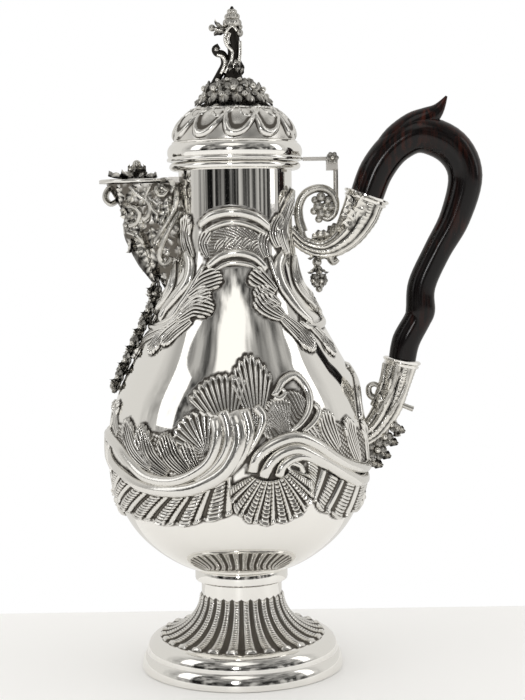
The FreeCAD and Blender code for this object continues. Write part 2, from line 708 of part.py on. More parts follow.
def make_grip(upper, lower):
    """The S-curved wooden grip with its thumb spur and two tenons."""
    stations = [
        # share of the way down, share of the reach outwards, share of the rise, half width, tilt
        (0, 0, 0, "0.93 * grip_arch", "upper_tilt"),
        (0, 0.108, 0.43, "0.95 * grip_arch", "28"),
        (0, 0.294, 0.803, "0.95 * grip_arch", "45"),
        (0, 0.545, 1, "grip_arch", "87"),
        (0, 0.857, 0.796, "grip_arch", "135"),
        (0, 1, 0.318, "0.95 * grip_arch", "180"),
        (0.13, 0.852, 0, "0.5 * grip_arch + 0.5 * grip_shank", "205"),
        (0.33, 0.601, 0, "grip_shank", "210"),
        (0.55, 0.368, 0, "grip_shank", "198"),
        (0.70, 0.323, 0, "1.05 * grip_shank", "192"),
        (0.87, 0.096, 0, "grip_shank", "202"),
        (1, 0, 0, "0.95 * grip_shank", "lower_tilt + 180"),
    ]
    grip = loft("grip_shaft", [
        (f"{UPPER_X} + {share} * ({LOWER_X} - {UPPER_X}) + {reach} * grip_reach",
         f"{UPPER_Z} + {share} * ({LOWER_Z} - {UPPER_Z}) + {rise} * grip_rise",
         half, f"grip_flatness_ratio * ({half})", tilt)
        for share, reach, rise, half, tilt in stations])
    spur = loft("grip_spur", [
        (f"{UPPER_X} + {reach} * grip_reach", f"{UPPER_Z} + {rise} * grip_rise",
         half, f"0.9 * ({half})", tilt)
        for reach, rise, half, tilt in (
            (0.437, 1.095, "spur_root", "75"),
            (0.639, 1.314, "0.5 * spur_root + 0.5 * spur_tip", "58"),
            (0.843, 1.547, "spur_tip", "56"))])
    pegs = [upper[0], lower[0]]
    named(cut("handle_grip", fuse("grip_joined", grip, spur, *pegs), upper[1], lower[1]), "handle_grip")


def make_spout():
    # share of the height below the top, share of the reach, share of the half depth, share of the half width
    levels = [(0, 1, 1, 1), (0.25, 0.78, 0.86, 0.9), (0.56, 0.53, 0.67, 0.72), (0.84, 0.31, 0.457, 0.5),
              (1, 0.17, 0.27, 0.3)]

    def funnel(name, rows, skin):
        return loft(name, [(f"-neck_radius - {front} * spout_reach + {depth} * spout_half_depth",
                            f"{SPOUT_TOP} - ({drop} * spout_height)",
                            f"{depth} * spout_half_depth - {skin}",
                            f"{share} * spout_half_width - {skin}", None)
                           for drop, front, depth, share in rows])
    outside = funnel("spout_outside", levels, "0 * spout_wall")
    above = [(-0.04, 1.03, 1.03, 1.02)]
    inside = funnel("spout_inside", above + levels[:-1], "spout_wall")
    named(cut("spout_shell", outside, inside, vessel_face), "spout_shell")
    boss = bind(doc.addObject("Part::Ellipsoid", "mask_boss"), Radius1="mask_height",
                Radius2="mask_depth", Radius3="mask_half_width")
    place(boss, "-neck_radius - 0.55 * spout_reach", 0, f"{SPOUT_TOP} - 0.4 * spout_height")
    named(cut("spout_mask", boss, outside), "spout_mask")
    top = ("neck_radius + 0.23 * spout_reach", f"{NECK_CURVE} - 0.26 * spout_height")
    foot = ("0.94 * belly_radius", f"{SHOULDER} - 0.4 * spout_height")
    beads = []
    count = SIZES["garland_count"]
    for index in range(count):
        share = f"{index} / (garland_count - 1)"
        x = f"-({top[0]} + {share} * ({foot[0]} - ({top[0]})))"
        z = f"{top[1]} + {share} * ({foot[1]} - ({top[1]}))"
        beads.append(ball("garland_flower", "garland_bead", x, 0, z))
    named(cut("body_garland", fuse("garland_chain", *beads), vessel_face, outside), "body_garland")


def make_flap():
    half = "flap_knuckle_length / 2"
    clear = f"({half} + knuckle_gap)"
    outside = f"({clear} + flap_knuckle_length)"
    root = "(-flap_knuckle - flap_gap)"
    tip = "(flap_hinge_reach - spout_reach - flap_overhang)"
    plate = padded("flap_plate", [
        [(root, "flap_root"), (root, "-flap_root")],
        [(root, "-flap_root"), (f"0.28 * {tip}", "-1.35 * flap_half_width"),
         (f"0.7 * {tip}", "-1.15 * flap_half_width"), (tip, "0")],
        [(tip, "0"), (f"0.7 * {tip}", "1.15 * flap_half_width"),
         (f"0.28 * {tip}", "1.35 * flap_half_width"), (root, "flap_root")],
    ], "flap_thickness")
    place(plate, FLAP_X, 0, FLAP_FLOOR)
    bore = cross_rod("flap_bore", "flap_pin_radius + pin_fit", f"{outside} + wall", FLAP_X, FLAP_Z)
    tab = block("flap_tab", (f"{FLAP_X} + {root} - wall", FLAP_X), (f"-{half}", half),
                (FLAP_FLOOR, f"{FLAP_FLOOR} + flap_thickness"))
    knuckle = cross_rod("flap_knuckle_rod", "flap_knuckle", half, FLAP_X, FLAP_Z)
    named(cut("flap_leaf", fuse("flap_joined", plate, tab, knuckle), bore), "flap_leaf")
    bud = spun("flap_bud", [
        [("0", "0"), ("flap_bud_base", "0")],
        [("flap_bud_base", "0"), ("flap_bud_base", "0.25 * flap_bud_height"),
         ("0.2 * flap_bud_base", "0.35 * flap_bud_height"), ("0.65 * flap_bud_base", "0.6 * flap_bud_height"),
         ("0.5 * flap_bud_base", "0.9 * flap_bud_height"), ("0", "flap_bud_height")],
        [("0", "flap_bud_height"), ("0", "0")],
    ])
    named(place(bud, f"{FLAP_X} - flap_bud_reach", 0, f"{FLAP_FLOOR} + flap_thickness"), "flap_bud")

    parts = []
    for side in (-1, 1):
        low, high = sorted((f"{side} * {clear}", f"{side} * {outside}"), key=num)
        parts.append(rod("flap_fixed_knuckle", "flap_knuckle", "flap_knuckle_length",
                         x=FLAP_X, y=low, z=FLAP_Z, across=True))
        parts.append(block("flap_ear", (FLAP_X, "-neck_radius + 2 * wall"), (low, high),
                           (f"{FLAP_Z} - flap_knuckle", f"{FLAP_Z} + flap_knuckle")))
    parts.append(block("flap_bridge", (f"{FLAP_X} + flap_knuckle + flap_gap", "-neck_radius + 2 * wall"),
                       (f"-{outside}", outside), (f"{FLAP_Z} - flap_knuckle", f"{FLAP_Z} + flap_knuckle")))
    named(cut("spout_hinge_block", fuse("flap_block_joined", *parts), bore, vessel_face), "spout_hinge_block")
    pin = cross_rod("flap_hinge_pin", "flap_pin_radius", f"{outside} + pin_head", FLAP_X, FLAP_Z)
    named(pin, "flap_hinge_pin")


# Ornament of the near side: turn from the front in degrees, share of the vessel's height, share of its swell
LEFT_WAVE = [(-90, 0.31, 1), (-74, 0.32, 1), (-59, 0.291, 1), (-43, 0.256, 0.99), (-31, 0.247, 0.99),
             (-20, 0.256, 0.99), (-11, 0.287, 1), (-5, 0.324, 1), (-3, 0.37, 0.98), (-5, 0.417, 0.92)]
LEFT_SHELLS = [(-45, 0.21, 0.96), (-27, 0.2, 0.94), (-12, 0.21, 0.96), (-12, 0.36, 0.98), (-7, 0.459, 0.84),
               (9, 0.479, 0.79), (22, 0.44, 0.88)]
RIGHT_WAVE = [(8, 0.275, 1), (11, 0.309, 1), (16, 0.332, 1), (24, 0.344, 0.99), (31, 0.334, 1),
              (39, 0.304, 1), (52, 0.269, 1), (64, 0.25, 0.99)]
RIGHT_SHELLS = [(13, 0.217, 0.96), (30, 0.235, 0.97), (48, 0.212, 0.96)]
NECK_SCROLL = [(-67, 0.64, 0.31), (-56, 0.677, 0.22), (-46, 0.715, 0.14), (-46, 0.755, 0.07),
               (-47, 0.8, 0.03), (-37, 0.841, 0.005), (-20, 0.862, 0.003), (-1, 0.868, 0.001),
               (19, 0.858, 0.003), (36, 0.831, 0.01), (44, 0.79, 0.04), (41, 0.748, 0.09),
               (41, 0.707, 0.15), (48, 0.664, 0.25), (58, 0.622, 0.35)]


def far_side(marks):
    return [(180 - turn, rise, swell) for turn, rise, swell in marks]


def on_wall(mark, sink):
    """A point below the vessel's wall at a mark."""
    turn, rise, swell = mark
    radius = f"(neck_radius + {swell} * (belly_radius - neck_radius) - {sink})"
    return (f"{radius} * sin({turn} * 1 deg)", f"-{radius} * cos({turn} * 1 deg)",
            f"{BASE} + {rise} * ({MOUTH} - {BASE})")


def scroll(label, marks, radius, sink):
    """A round rod from mark to mark, with a slightly fuller knuckle at each."""
    spots = [on_wall(mark, sink) for mark in marks]
    parts = [ball(label + "_knuckle", f"1.04 * {radius}", *spot) for spot in spots]
    for start, end in zip(spots, spots[1:]):
        reach = V(*(num(b) - num(a) for a, b in zip(start, end)))
        link = rod(label + "_link", radius, reach.Length, x=start[0], y=start[1], z=start[2])
        link.Placement = FreeCAD.Placement(link.Placement.Base, FreeCAD.Rotation(V(0, 0, 1), reach))
        parts.append(link)
    return parts


def shells(label, marks):
    """Low round shells on the wall."""
    return [ball(label + "_shell", "shell_radius", *on_wall(mark, "shell_sink")) for mark in marks]


def make_relief():
    """The main scrolls and shells that are raised on the vessel."""
    def raised(label, parts):
        named(cut(label, fuse(label + "_joined", *parts), vessel_face), label)
    both = scroll("left_wave", far_side(LEFT_WAVE[:0:-1]) + LEFT_WAVE, "wave_radius", "wave_sink")
    both += shells("left_wave", far_side(LEFT_SHELLS) + LEFT_SHELLS)
    raised("wave_scroll_left", both)
    for side, marks in (("near", list), ("far", far_side)):
        label = "right_wave_" + side
        parts = scroll(label, marks(RIGHT_WAVE), "wave_radius", "wave_sink")
        raised("wave_scroll_" + side, parts + shells(label, marks(RIGHT_SHELLS)))
        label = "neck_" + side
        parts = scroll(label, marks(NECK_SCROLL), "neck_scroll_radius", "neck_scroll_sink")
        raised("neck_scroll_" + side, parts)


make_foot()
make_vessel()
make_finial(make_lid())
scroll_seat = make_lid_hinge()
upper_end = make_upper_bracket(scroll_seat)
lower_end = make_lower_bracket()
make_grip(upper_end, lower_end)
make_spout()
make_flap()
make_relief()
doc.recompute()

faults = [f"{obj.Label}: {obj.State}" for obj in doc.Objects if {"Invalid", "Error"} & set(obj.State)]
for piece in pieces:
    if piece.Shape.isNull() or not piece.Shape.isValid():
        faults.append(f"{piece.Label}: no valid shape")
    elif len(piece.Shape.Solids) != 1:
        faults.append(f"{piece.Label}: {len(piece.Shape.Solids)} solids")
if faults:
    raise RuntimeError("; ".join(faults))

os.makedirs("parts", exist_ok=True)
for piece in pieces:
    piece.Shape.exportStep(f"parts/{piece.Label}.step")
    print(f"{piece.Label}: {piece.Shape.Volume:.0f} mm3")
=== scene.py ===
"""Looks of the silver coffee pot: turned silver, chased relief, cast ornament and the ebony grip.

Sizes are millimetres in the part's frame until a mesh is finished, when it is scaled to metres.
A 'turn' is the angle round the pot's axis: 0 faces the viewer, a quarter turn is the handle.
"""
import bmesh
import bpy
import math
from bisect import bisect_right
from mathutils import Matrix, Vector
from mathutils.bvhtree import BVHTree
from mathutils.kdtree import KDTree


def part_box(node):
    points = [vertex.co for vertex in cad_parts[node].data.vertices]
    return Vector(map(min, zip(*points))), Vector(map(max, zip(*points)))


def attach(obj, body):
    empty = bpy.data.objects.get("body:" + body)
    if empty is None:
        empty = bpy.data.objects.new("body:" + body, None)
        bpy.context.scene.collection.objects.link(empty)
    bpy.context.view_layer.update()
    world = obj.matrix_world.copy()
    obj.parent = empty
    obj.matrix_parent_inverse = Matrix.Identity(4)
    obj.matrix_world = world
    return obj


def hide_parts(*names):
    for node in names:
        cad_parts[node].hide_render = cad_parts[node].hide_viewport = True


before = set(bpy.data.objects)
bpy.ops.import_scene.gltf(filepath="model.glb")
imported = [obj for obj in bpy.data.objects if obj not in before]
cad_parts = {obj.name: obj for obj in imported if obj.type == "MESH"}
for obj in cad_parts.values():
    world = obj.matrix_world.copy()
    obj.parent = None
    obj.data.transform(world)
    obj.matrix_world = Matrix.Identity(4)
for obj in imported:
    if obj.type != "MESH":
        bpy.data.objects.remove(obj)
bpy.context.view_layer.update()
scene = bpy.context.scene
MM = 0.001
UP = Vector((0, 0, 1))

# Camera, in millimetres, degrees and pixels of the picture
IMAGE_WIDTH = 525
IMAGE_HEIGHT = 700
SENSOR = 36.0
LENS = 77.3
CAMERA_AT = Vector((11.2, -682.0, 198.0))
CAMERA_PITCH = 4.44
CAMERA_ROLL = 0.86
CAMERA_TURN = (Matrix.Rotation(math.radians(90 - CAMERA_PITCH), 3, "X")
               @ Matrix.Rotation(math.radians(-CAMERA_ROLL), 3, "Z"))


def sight(pixel):
    """Direction in which the camera sees a pixel."""
    focal = LENS / SENSOR * IMAGE_HEIGHT
    across = (pixel[0] - IMAGE_WIDTH / 2) / focal
    up = (IMAGE_HEIGHT / 2 - pixel[1]) / focal
    return (CAMERA_TURN @ Vector((across, up, -1))).normalized()


def on_plane(pixel, y=0.0):
    """Where a pixel's line of sight meets an upright plane across the view."""
    ray = sight(pixel)
    return CAMERA_AT + ray * ((y - CAMERA_AT.y) / ray.y)


def node_skin(*nodes):
    """Search trees of the named sub-parts, for laying ornament on them."""
    trees = []
    for name in nodes:
        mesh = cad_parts[name].data
        points = [v.co / MM for v in mesh.vertices]
        trees.append(BVHTree.FromPolygons(points, [p.vertices for p in mesh.polygons]))
    return trees


def seen_on(trees, pixel):
    """The nearest point of the skins along a pixel's line of sight, and its normal."""
    ray = sight(pixel)
    hits = [tree.ray_cast(CAMERA_AT, ray) for tree in trees]
    hits = [hit for hit in hits if hit[0] is not None]
    if not hits:
        return on_plane(pixel), -ray
    spot, normal, _, _ = min(hits, key=lambda hit: hit[3])
    if normal.dot(ray) > 0:
        normal = -normal
    return spot, normal


# Smooth lines


def flow(poles, steps):
    """Points of the smooth curve led by a row of poles."""
    data = bpy.data.curves.new("flow", "CURVE")
    data.dimensions = "3D"
    spline = data.splines.new("NURBS")
    spline.points.add(len(poles) - 1)
    for point, pole in zip(spline.points, poles):
        point.co = (*pole, 0, 1) if len(pole) == 2 else (*pole, 1)
    spline.order_u = min(4, len(poles))
    spline.use_endpoint_u = True
    spline.resolution_u = steps
    holder = bpy.data.objects.new("flow", data)
    mesh = bpy.data.meshes.new_from_object(holder)
    points = [tuple(v.co)[:len(poles[0])] for v in mesh.vertices]
    bpy.data.objects.remove(holder)
    bpy.data.meshes.remove(mesh)
    bpy.data.curves.remove(data)
    return points


def through(points, share):
    """A place on the smooth line that passes through the points, from 0 to 1."""
    runs = len(points) - 1
    at = min(max(share, 0.0), 1.0) * runs
    k = min(int(at), runs - 1)
    f = at - k
    a, b, c, d = (points[min(max(k + i, 0), runs)] for i in (-1, 0, 1, 2))
    return tuple(
        0.5 * (2 * q + (r - p) * f + (2 * p - 5 * q + 4 * r - w) * f * f + (3 * q - p - 3 * r + w) * f ** 3)
        for p, q, r, w in zip(a, b, c, d))


def blend(values, share):
    """A value between evenly spaced ones."""
    at = min(max(share, 0.0), 1.0) * (len(values) - 1)
    k = min(int(at), len(values) - 2)
    return values[k] + (values[k + 1] - values[k]) * (at - k)


# Steps, in millimetres, of the search for the place where a line of sight meets a wall
SEARCH_REACH = 62.0
SEARCH_STEP = 0.5
FINE_STEP = 0.05
FINE_TRIES = 11


class Wall:
    """A turned wall, addressed by turn and by the length along its outline from the bottom."""

    def __init__(self, outline):
        self.outline = outline
        self.heights = [z for _, z in outline]
        self.run = [0.0]
        for (r0, z0), (r1, z1) in zip(outline, outline[1:]):
            self.run.append(self.run[-1] + math.hypot(r1 - r0, z1 - z0))
        self.normals = []
        for k in range(len(outline)):
            r0, z0 = outline[max(k - 1, 0)]
            r1, z1 = outline[min(k + 1, len(outline) - 1)]
            size = math.hypot(r1 - r0, z1 - z0)
            self.normals.append(((z1 - z0) / size, (r0 - r1) / size))

    def at(self, along):
        """Radius and height at a length along the outline, and the two parts of the normal there."""
        along = min(max(along, 0.0), self.run[-1])
        k = min(max(bisect_right(self.run, along) - 1, 0), len(self.run) - 2)
        f = (along - self.run[k]) / (self.run[k + 1] - self.run[k])
        pairs = ((self.outline[k], self.outline[k + 1]), (self.normals[k], self.normals[k + 1]))
        return tuple(a + (b - a) * f for first, last in pairs for a, b in zip(first, last))

    def level(self, height):
        """Length along the outline at a height."""
        k = min(max(bisect_right(self.heights, height) - 1, 0), len(self.heights) - 2)
        rise = self.heights[k + 1] - self.heights[k]
        f = min(max((height - self.heights[k]) / rise, 0.0), 1.0) if rise > 1e-6 else 0.0
        return self.run[k] + f * (self.run[k + 1] - self.run[k])

    def point(self, turn, along, lift=0.0):
        """A place on the wall, or lifted from it along its normal."""
        r, z, out, rise = self.at(along)
        r += lift * out
        return Vector((r * math.sin(turn), -r * math.cos(turn), z + lift * rise))

    def seen(self, pixel):
        """Turn and length along the outline where the camera sees a pixel on the wall."""
        ray = sight(pixel)

        def probe(depth):
            spot = CAMERA_AT + ray * ((depth - CAMERA_AT.y) / ray.y)
            return math.hypot(spot.x, spot.y) - self.at(self.level(spot.z))[0], spot
        depths = [SEARCH_STEP * k - SEARCH_REACH for k in range(int(SEARCH_REACH / SEARCH_STEP) + 1)]
        near = next((depth for depth in depths if probe(depth)[0] <= 0), None)
        if near is None:
            spot = min((probe(depth) for depth in depths), key=lambda hit: hit[0])[1]
        else:
            spot = min((probe(near - FINE_STEP * k) for k in range(FINE_TRIES)),
                       key=lambda hit: abs(hit[0]))[1]
        return math.atan2(spot.x, -spot.y), self.level(spot.z)

    def marks(self, pixels):
        """Turns and lengths along the outline for a line of pixels."""
        return [self.seen(pixel) for pixel in pixels]


# Materials


def feed(tree, made, inputs):
    """Sets inputs of a shader node, each to a value or to the output of another node."""
    for key, source in inputs.items():
        if isinstance(source, bpy.types.NodeSocket):
            tree.links.new(source, made.inputs[key])
        else:
            made.inputs[key].default_value = source


def node(tree, kind, inputs, **values):
    """Adds a shader node with the given inputs and properties, and returns its outputs."""
    made = tree.nodes.new(kind)
    for key, value in values.items():
        setattr(made, key, value)
    feed(tree, made, inputs)
    return made.outputs


def noise(tree, source, scale, detail):
    return node(tree, "ShaderNodeTexNoise", {"Vector": source, "Scale": scale, "Detail": detail})["Fac"]


def stretched(tree, source, scale):
    return node(tree, "ShaderNodeMapping", {"Vector": source, "Scale": scale})[0]


def remap(tree, value, low, high, to_low=0.0, to_high=1.0):
    """A value carried from one range to another, and held within it."""
    ranges = {"From Min": low, "From Max": high, "To Min": to_low, "To Max": to_high}
    return node(tree, "ShaderNodeMapRange", {"Value": value, **ranges})[0]


def reckon(tree, operation, *values):
    return node(tree, "ShaderNodeMath", dict(enumerate(values)), operation=operation)[0]


def mix(tree, share, low, high):
    return node(tree, "ShaderNodeMix", {0: share, 2: low, 3: high})[0]


def mix_colour(tree, share, low, high):
    return node(tree, "ShaderNodeMix", {0: share, 6: low, 7: high}, data_type="RGBA")[2]


def bumped(tree, height, strength, distance):
    bump = {"Height": height, "Strength": strength, "Distance": distance}
    return node(tree, "ShaderNodeBump", bump)[0]


COLOUR = "NodeSocketColor"
NUMBER = "NodeSocketFloat"


def group(name, inputs, outputs):
    """A shader node group with named sockets: its tree, what it is given, and the node that ends it."""
    tree = bpy.data.node_groups.new(name, "ShaderNodeTree")
    for direction, sockets in (("INPUT", inputs), ("OUTPUT", outputs)):
        for label, kind in sockets.items():
            tree.interface.new_socket(name=label, in_out=direction, socket_type=kind)
    return tree, tree.nodes.new("NodeGroupInput").outputs, tree.nodes.new("NodeGroupOutput")


def oxide_and_shade_group():
    """Silver that is dark in the recesses with oxide and painted shade, and bright on the high places with a
    painted highlight.
    """
    tree, given, out = group(
        "oxide_and_painted_shade",
        {"Bright": COLOUR, "Dark": COLOUR, "Bright Roughness": NUMBER, "Dark Roughness": NUMBER},
        {"Color": COLOUR, "Roughness": NUMBER})
    relief = node(tree, "ShaderNodeAttribute", {}, attribute_name="relief")["Fac"]
    place = node(tree, "ShaderNodeTexCoord", {})["Object"]
    blotch = reckon(tree, "SUBTRACT", noise(tree, place, 220.0, 4.0), 0.5)
    height = reckon(tree, "ADD", relief, reckon(tree, "MULTIPLY", blotch, 0.5))
    mask = remap(tree, height, 0.34, 0.74)
    feed(tree, out, {
        "Color": mix_colour(tree, mask, given["Dark"], given["Bright"]),
        "Roughness": mix(tree, mask, given["Dark Roughness"], given["Bright Roughness"])})
    return tree


def polish_group():
    """Fine hand polishing: a little unevenness of gloss and the height of faint scratches."""
    tree, given, out = group("hand_polish", {"Roughness": NUMBER, "Unevenness": NUMBER},
                             {"Roughness": NUMBER, "Height": NUMBER})
    place = node(tree, "ShaderNodeTexCoord", {})["Object"]
    smear = reckon(tree, "MULTIPLY", noise(tree, place, 45.0, 5.0), given["Unevenness"])
    scratch = noise(tree, stretched(tree, place, (900, 900, 90)), 1.0, 2.0)
    dent = reckon(tree, "MULTIPLY", noise(tree, place, 28.0, 1.0), 6.0)
    feed(tree, out, {"Roughness": reckon(tree, "ADD", given["Roughness"], smear),
                     "Height": reckon(tree, "ADD", scratch, dent)})
    return tree


OXIDE_AND_SHADE = oxide_and_shade_group()
POLISH = polish_group()
SILVER = (0.90, 0.885, 0.85, 1)
DARK_SILVER = (0.13, 0.118, 0.102, 1)


def new_material(name):
    material = bpy.data.materials.new(name)
    material.use_nodes = True
    return material, material.node_tree, material.node_tree.nodes["Principled BSDF"]


def polished_silver(name="polished_silver", roughness=0.05, colour=SILVER):
    """Plain silver with hand polish; a higher roughness gives a satin or brushed finish."""
    material, tree, shader = new_material(name)
    settings = {"Roughness": roughness, "Unevenness": 0.07}
    polish = node(tree, "ShaderNodeGroup", settings, node_tree=POLISH)
    feed(tree, shader, {"Base Color": colour, "Metallic": 1.0, "Roughness": polish["Roughness"],
                        "Normal": bumped(tree, polish["Height"], 0.12, 0.00008)})
    return material


def chased_silver(name, bright, dark=DARK_SILVER, grain=900.0, gloss=0.13, pitting=0.25):
    """Chased or cast silver; the mesh's relief attribute says what is raised, and sets the oxide and painted
    shade of the recesses and the painted highlight of the high places.
    """
    material, tree, shader = new_material(name)
    settings = {"Bright": bright, "Dark": dark, "Bright Roughness": gloss, "Dark Roughness": 0.5}
    tone = node(tree, "ShaderNodeGroup", settings, node_tree=OXIDE_AND_SHADE)
    pits = noise(tree, node(tree, "ShaderNodeTexCoord", {})["Object"], grain, 3.0)
    feed(tree, shader, {"Base Color": tone["Color"], "Metallic": 1.0, "Roughness": tone["Roughness"],
                        "Normal": bumped(tree, pits, pitting, 0.0002)})
    return material


def worked_silver():
    """Cast silver with a small leafy pattern, for surfaces under separate ornament."""
    material, tree, shader = new_material("worked_silver")
    place = node(tree, "ShaderNodeTexCoord", {})["Object"]
    warp = node(tree, "ShaderNodeTexNoise", {"Vector": place, "Scale": 150.0, "Detail": 2.0})["Color"]
    push = node(tree, "ShaderNodeVectorMath", {0: warp, 1: (0.006, 0.006, 0.006)}, operation="MULTIPLY")[0]
    bent = node(tree, "ShaderNodeVectorMath", {0: place, 1: push}, operation="ADD")[0]
    cells = node(tree, "ShaderNodeTexVoronoi", {"Vector": bent, "Scale": 330.0}, feature="SMOOTH_F1")
    high = remap(tree, cells["Distance"], 0.1, 0.46, 1.0, 0.0)
    feed(tree, shader, {"Base Color": mix_colour(tree, high, DARK_SILVER, SILVER), "Metallic": 1.0,
                        "Roughness": 0.24, "Normal": bumped(tree, high, 0.8, 0.0008)})
    return material


def ebony_wood():
    """Near-black oiled wood with faint warm streaks along the grain."""
    material, tree, shader = new_material("ebony")
    place = node(tree, "ShaderNodeTexCoord", {})["Object"]
    grain = noise(tree, stretched(tree, place, (520, 520, 55)), 1.0, 6.0)
    patch = remap(tree, noise(tree, place, 26.0, 2.0), 0.5, 0.7)
    streak = reckon(tree, "MULTIPLY", remap(tree, grain, 0.45, 0.75), patch)
    feed(tree, shader, {
        "Base Color": mix_colour(tree, streak, (0.003, 0.002, 0.002, 1), (0.06, 0.012, 0.006, 1)),
        "Roughness": remap(tree, grain, 0.0, 1.0, 0.10, 0.22), "Specular IOR Level": 0.22,
        "Coat Weight": 0.12, "Coat Roughness": 0.06, "Normal": bumped(tree, grain, 0.15, 0.0001)})
    return material


POLISHED = polished_silver()
BRUSHED = polished_silver("brushed_silver", 0.30, (0.52, 0.50, 0.47, 1))
SATIN = polished_silver("satin_silver", 0.26, (0.80, 0.78, 0.74, 1))
# Silver of the vessel, darkened by painted shade beside the chasing
SHADED = chased_silver("shaded_silver", SILVER, (0.10, 0.09, 0.08, 1), gloss=0.05, pitting=0.015)
CHASED = chased_silver("chased_silver", (0.80, 0.785, 0.75, 1), gloss=0.16)
# Cast silver; its near-black dark colour carries the painted shade of the finial
CAST = chased_silver("cast_silver", (0.80, 0.78, 0.73, 1), (0.03, 0.027, 0.024, 1), 1400.0)
EBONY = ebony_wood()
WORKED = worked_silver()


# Making pieces

SHARP = math.radians(48)


def finish(name, bm, body, material, replaced=(), thickness=0.0):
    """Turns a bmesh in millimetres into a finished piece that rides on a body."""
    bmesh.ops.scale(bm, vec=(MM, MM, MM), verts=bm.verts)
    for edge in bm.edges:
        edge.smooth = len(edge.link_faces) != 2 or edge.calc_face_angle() < SHARP
    mesh = bpy.data.meshes.new(name)
    bm.to_mesh(mesh)
    bm.free()
    mesh.shade_smooth()
    mesh.materials.append(material)
    made = bpy.data.objects.new(name, mesh)
    scene.collection.objects.link(made)
    if thickness:
        shell = made.modifiers.new("thickness", "SOLIDIFY")
        shell.thickness = thickness * MM
        shell.offset = -1
    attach(made, body)
    if replaced:
        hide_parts(*replaced)
    return made


def turned(outline, steps=160):
    """A solid turned from a closed outline of (radius, height) points."""
    bm = bmesh.new()
    verts = [bm.verts.new((r, 0, z)) for r, z in outline]
    edges = [bm.edges.new((a, b)) for a, b in zip(verts, verts[1:] + verts[:1])]
    bmesh.ops.spin(bm, geom=verts + edges, cent=(0, 0, 0), axis=(0, 0, 1), dvec=(0, 0, 0),
                   angle=math.tau, steps=steps, use_merge=True)
    bmesh.ops.remove_doubles(bm, verts=bm.verts, dist=1e-4)
    bmesh.ops.dissolve_degenerate(bm, dist=1e-4, edges=bm.edges)
    bmesh.ops.recalc_face_normals(bm, faces=bm.faces)
    return bm


def relief_layer(bm):
    """The vertex values that the oxide and painted shade finish reads: low ones are recesses dark with oxide
    and painted shade, high ones carry a painted highlight.
    """
    return bm.verts.layers.float.get("relief") or bm.verts.layers.float.new("relief")


# A relief shape is (place, height, cells along, cells across): place gives turn and length along the
# wall's outline, height gives millimetres above the wall, both from a share along and a side from -1 to 1.
SINK = 0.35
RELIEF_SHEET = 0.25

# How the relief value follows the shape: its value on a flat field, and what a step or height adds; low
# values give oxide and painted shade, high values a painted highlight
RELIEF_TONE = 0.34
STEP_CONTRAST = 3.6
HEIGHT_CONTRAST = 0.16
WIRE_TONE = 0.62
BEAD_TONE = 0.6
LEAF_TONE = 0.58
PETAL_TONE = 0.5
CORE_TONE = 0.75
BRIGHT_TONE = 0.8
ARM_LEAF_TONE = 0.76

# Borders of the chasing, beside which the vessel is darkened with painted shade
chased_edges = []


def emboss(bm, wall, shape, mirrored=True, tone=RELIEF_TONE):
    """Adds a relief shape to a mesh, with its twin on the far side of the pot if mirrored."""
    place, height, along, across = shape
    layer = relief_layer(bm)
    for far in (False, True) if mirrored else (False,):
        grid = bmesh.ops.create_grid(bm, x_segments=along, y_segments=across, size=1)
        for vert in grid["verts"]:
            share = (vert.co.x + 1) / 2
            side = vert.co.y
            turn, run = place(share, side)
            lift = height(share, side)
            beside = ((-2 / along, 0), (2 / along, 0), (0, -4 / across), (0, 4 / across))
            near = 0.25 * sum(height(min(max(share + i, 0), 1), min(max(side + j, -1), 1)) for i, j in beside)
            # Grooves darker, ridges and high places brighter: oxide and painted shade in the grooves, painted
            # highlight on the ridges
            value = tone + STEP_CONTRAST * (lift - near) + HEIGHT_CONTRAST * lift
            vert[layer] = min(1.0, max(0.0, value))
            vert.co = wall.point(math.pi - turn if far else turn, run, lift)
            if vert.is_boundary:
                chased_edges.append(vert.co.copy())
        if far:
            bmesh.ops.reverse_faces(bm, faces=list({f for v in grid["verts"] for f in v.link_faces}))


def ends(share, length=0.08):
    """A rounded rise from 0 at both ends of a line to 1 along its middle."""
    return min(1.0, share / length, (1 - share) / length) ** 0.5 if 0 < share < 1 else 0.0


def square_to(wall, marks, share, step, out):
    """The mark that lies a distance out from the line through marks, square to it."""
    turn, run = through(marks, share)
    before = through(marks, share - step)
    after = through(marks, share + step)
    r = max(wall.at(run)[0], 1.0)
    around, up = (after[0] - before[0]) * r, after[1] - before[1]
    size = math.hypot(around, up) or 1.0
    return turn - up / size * out / r, run + around / size * out


def between(first, last, share):
    """A mark between two marks."""
    return tuple(a + (b - a) * share for a, b in zip(first, last))


def band(wall, marks, widths, lift, cells=70):
    """A rounded band along marks on the wall."""
    def place(share, side):
        return square_to(wall, marks, share, 0.02, side * blend(widths, share))

    def height(share, side):
        rounded = max(0.0, 1 - side * side) ** 0.5 * ends(share)
        return blend(lift, share) * rounded - SINK
    return place, height, cells, 12


def frond(wall, marks, width, lift, lobes):
    """A chased leaf along marks on the wall: it widens from its root, ribs run out to a lobed, curled tip."""
    def place(share, side):
        lobe = abs(math.sin(math.pi * lobes * (side + 1) / 2))
        reach = share * (1 - 0.26 * abs(side) ** 1.5 + 0.07 * lobe * share)
        out = side * width * (0.28 + 0.95 * math.sin(math.pi * min(0.62, 0.1 + 0.6 * reach)) - 0.15)
        return square_to(wall, marks, reach, 0.03, out)

    def height(share, side):
        edge = min(1.0, (1 - share) / 0.06, share / 0.04, (1 - abs(side)) / 0.1) ** 0.5
        rib = abs(math.sin(math.pi * lobes * (side + 1) / 2)) ** 0.8
        curl = math.exp(-((share - 0.88) / 0.09) ** 2)
        spine = math.exp(-(side / 0.16) ** 2) * (1 - share)
        return lift * edge * (0.35 + 0.5 * rib + 0.5 * curl * (0.5 + 0.5 * rib) + 0.35 * spine) - SINK
    return place, height, 30, 6 * lobes


FAN_START = 0.08
FAN_NECK = 0.6


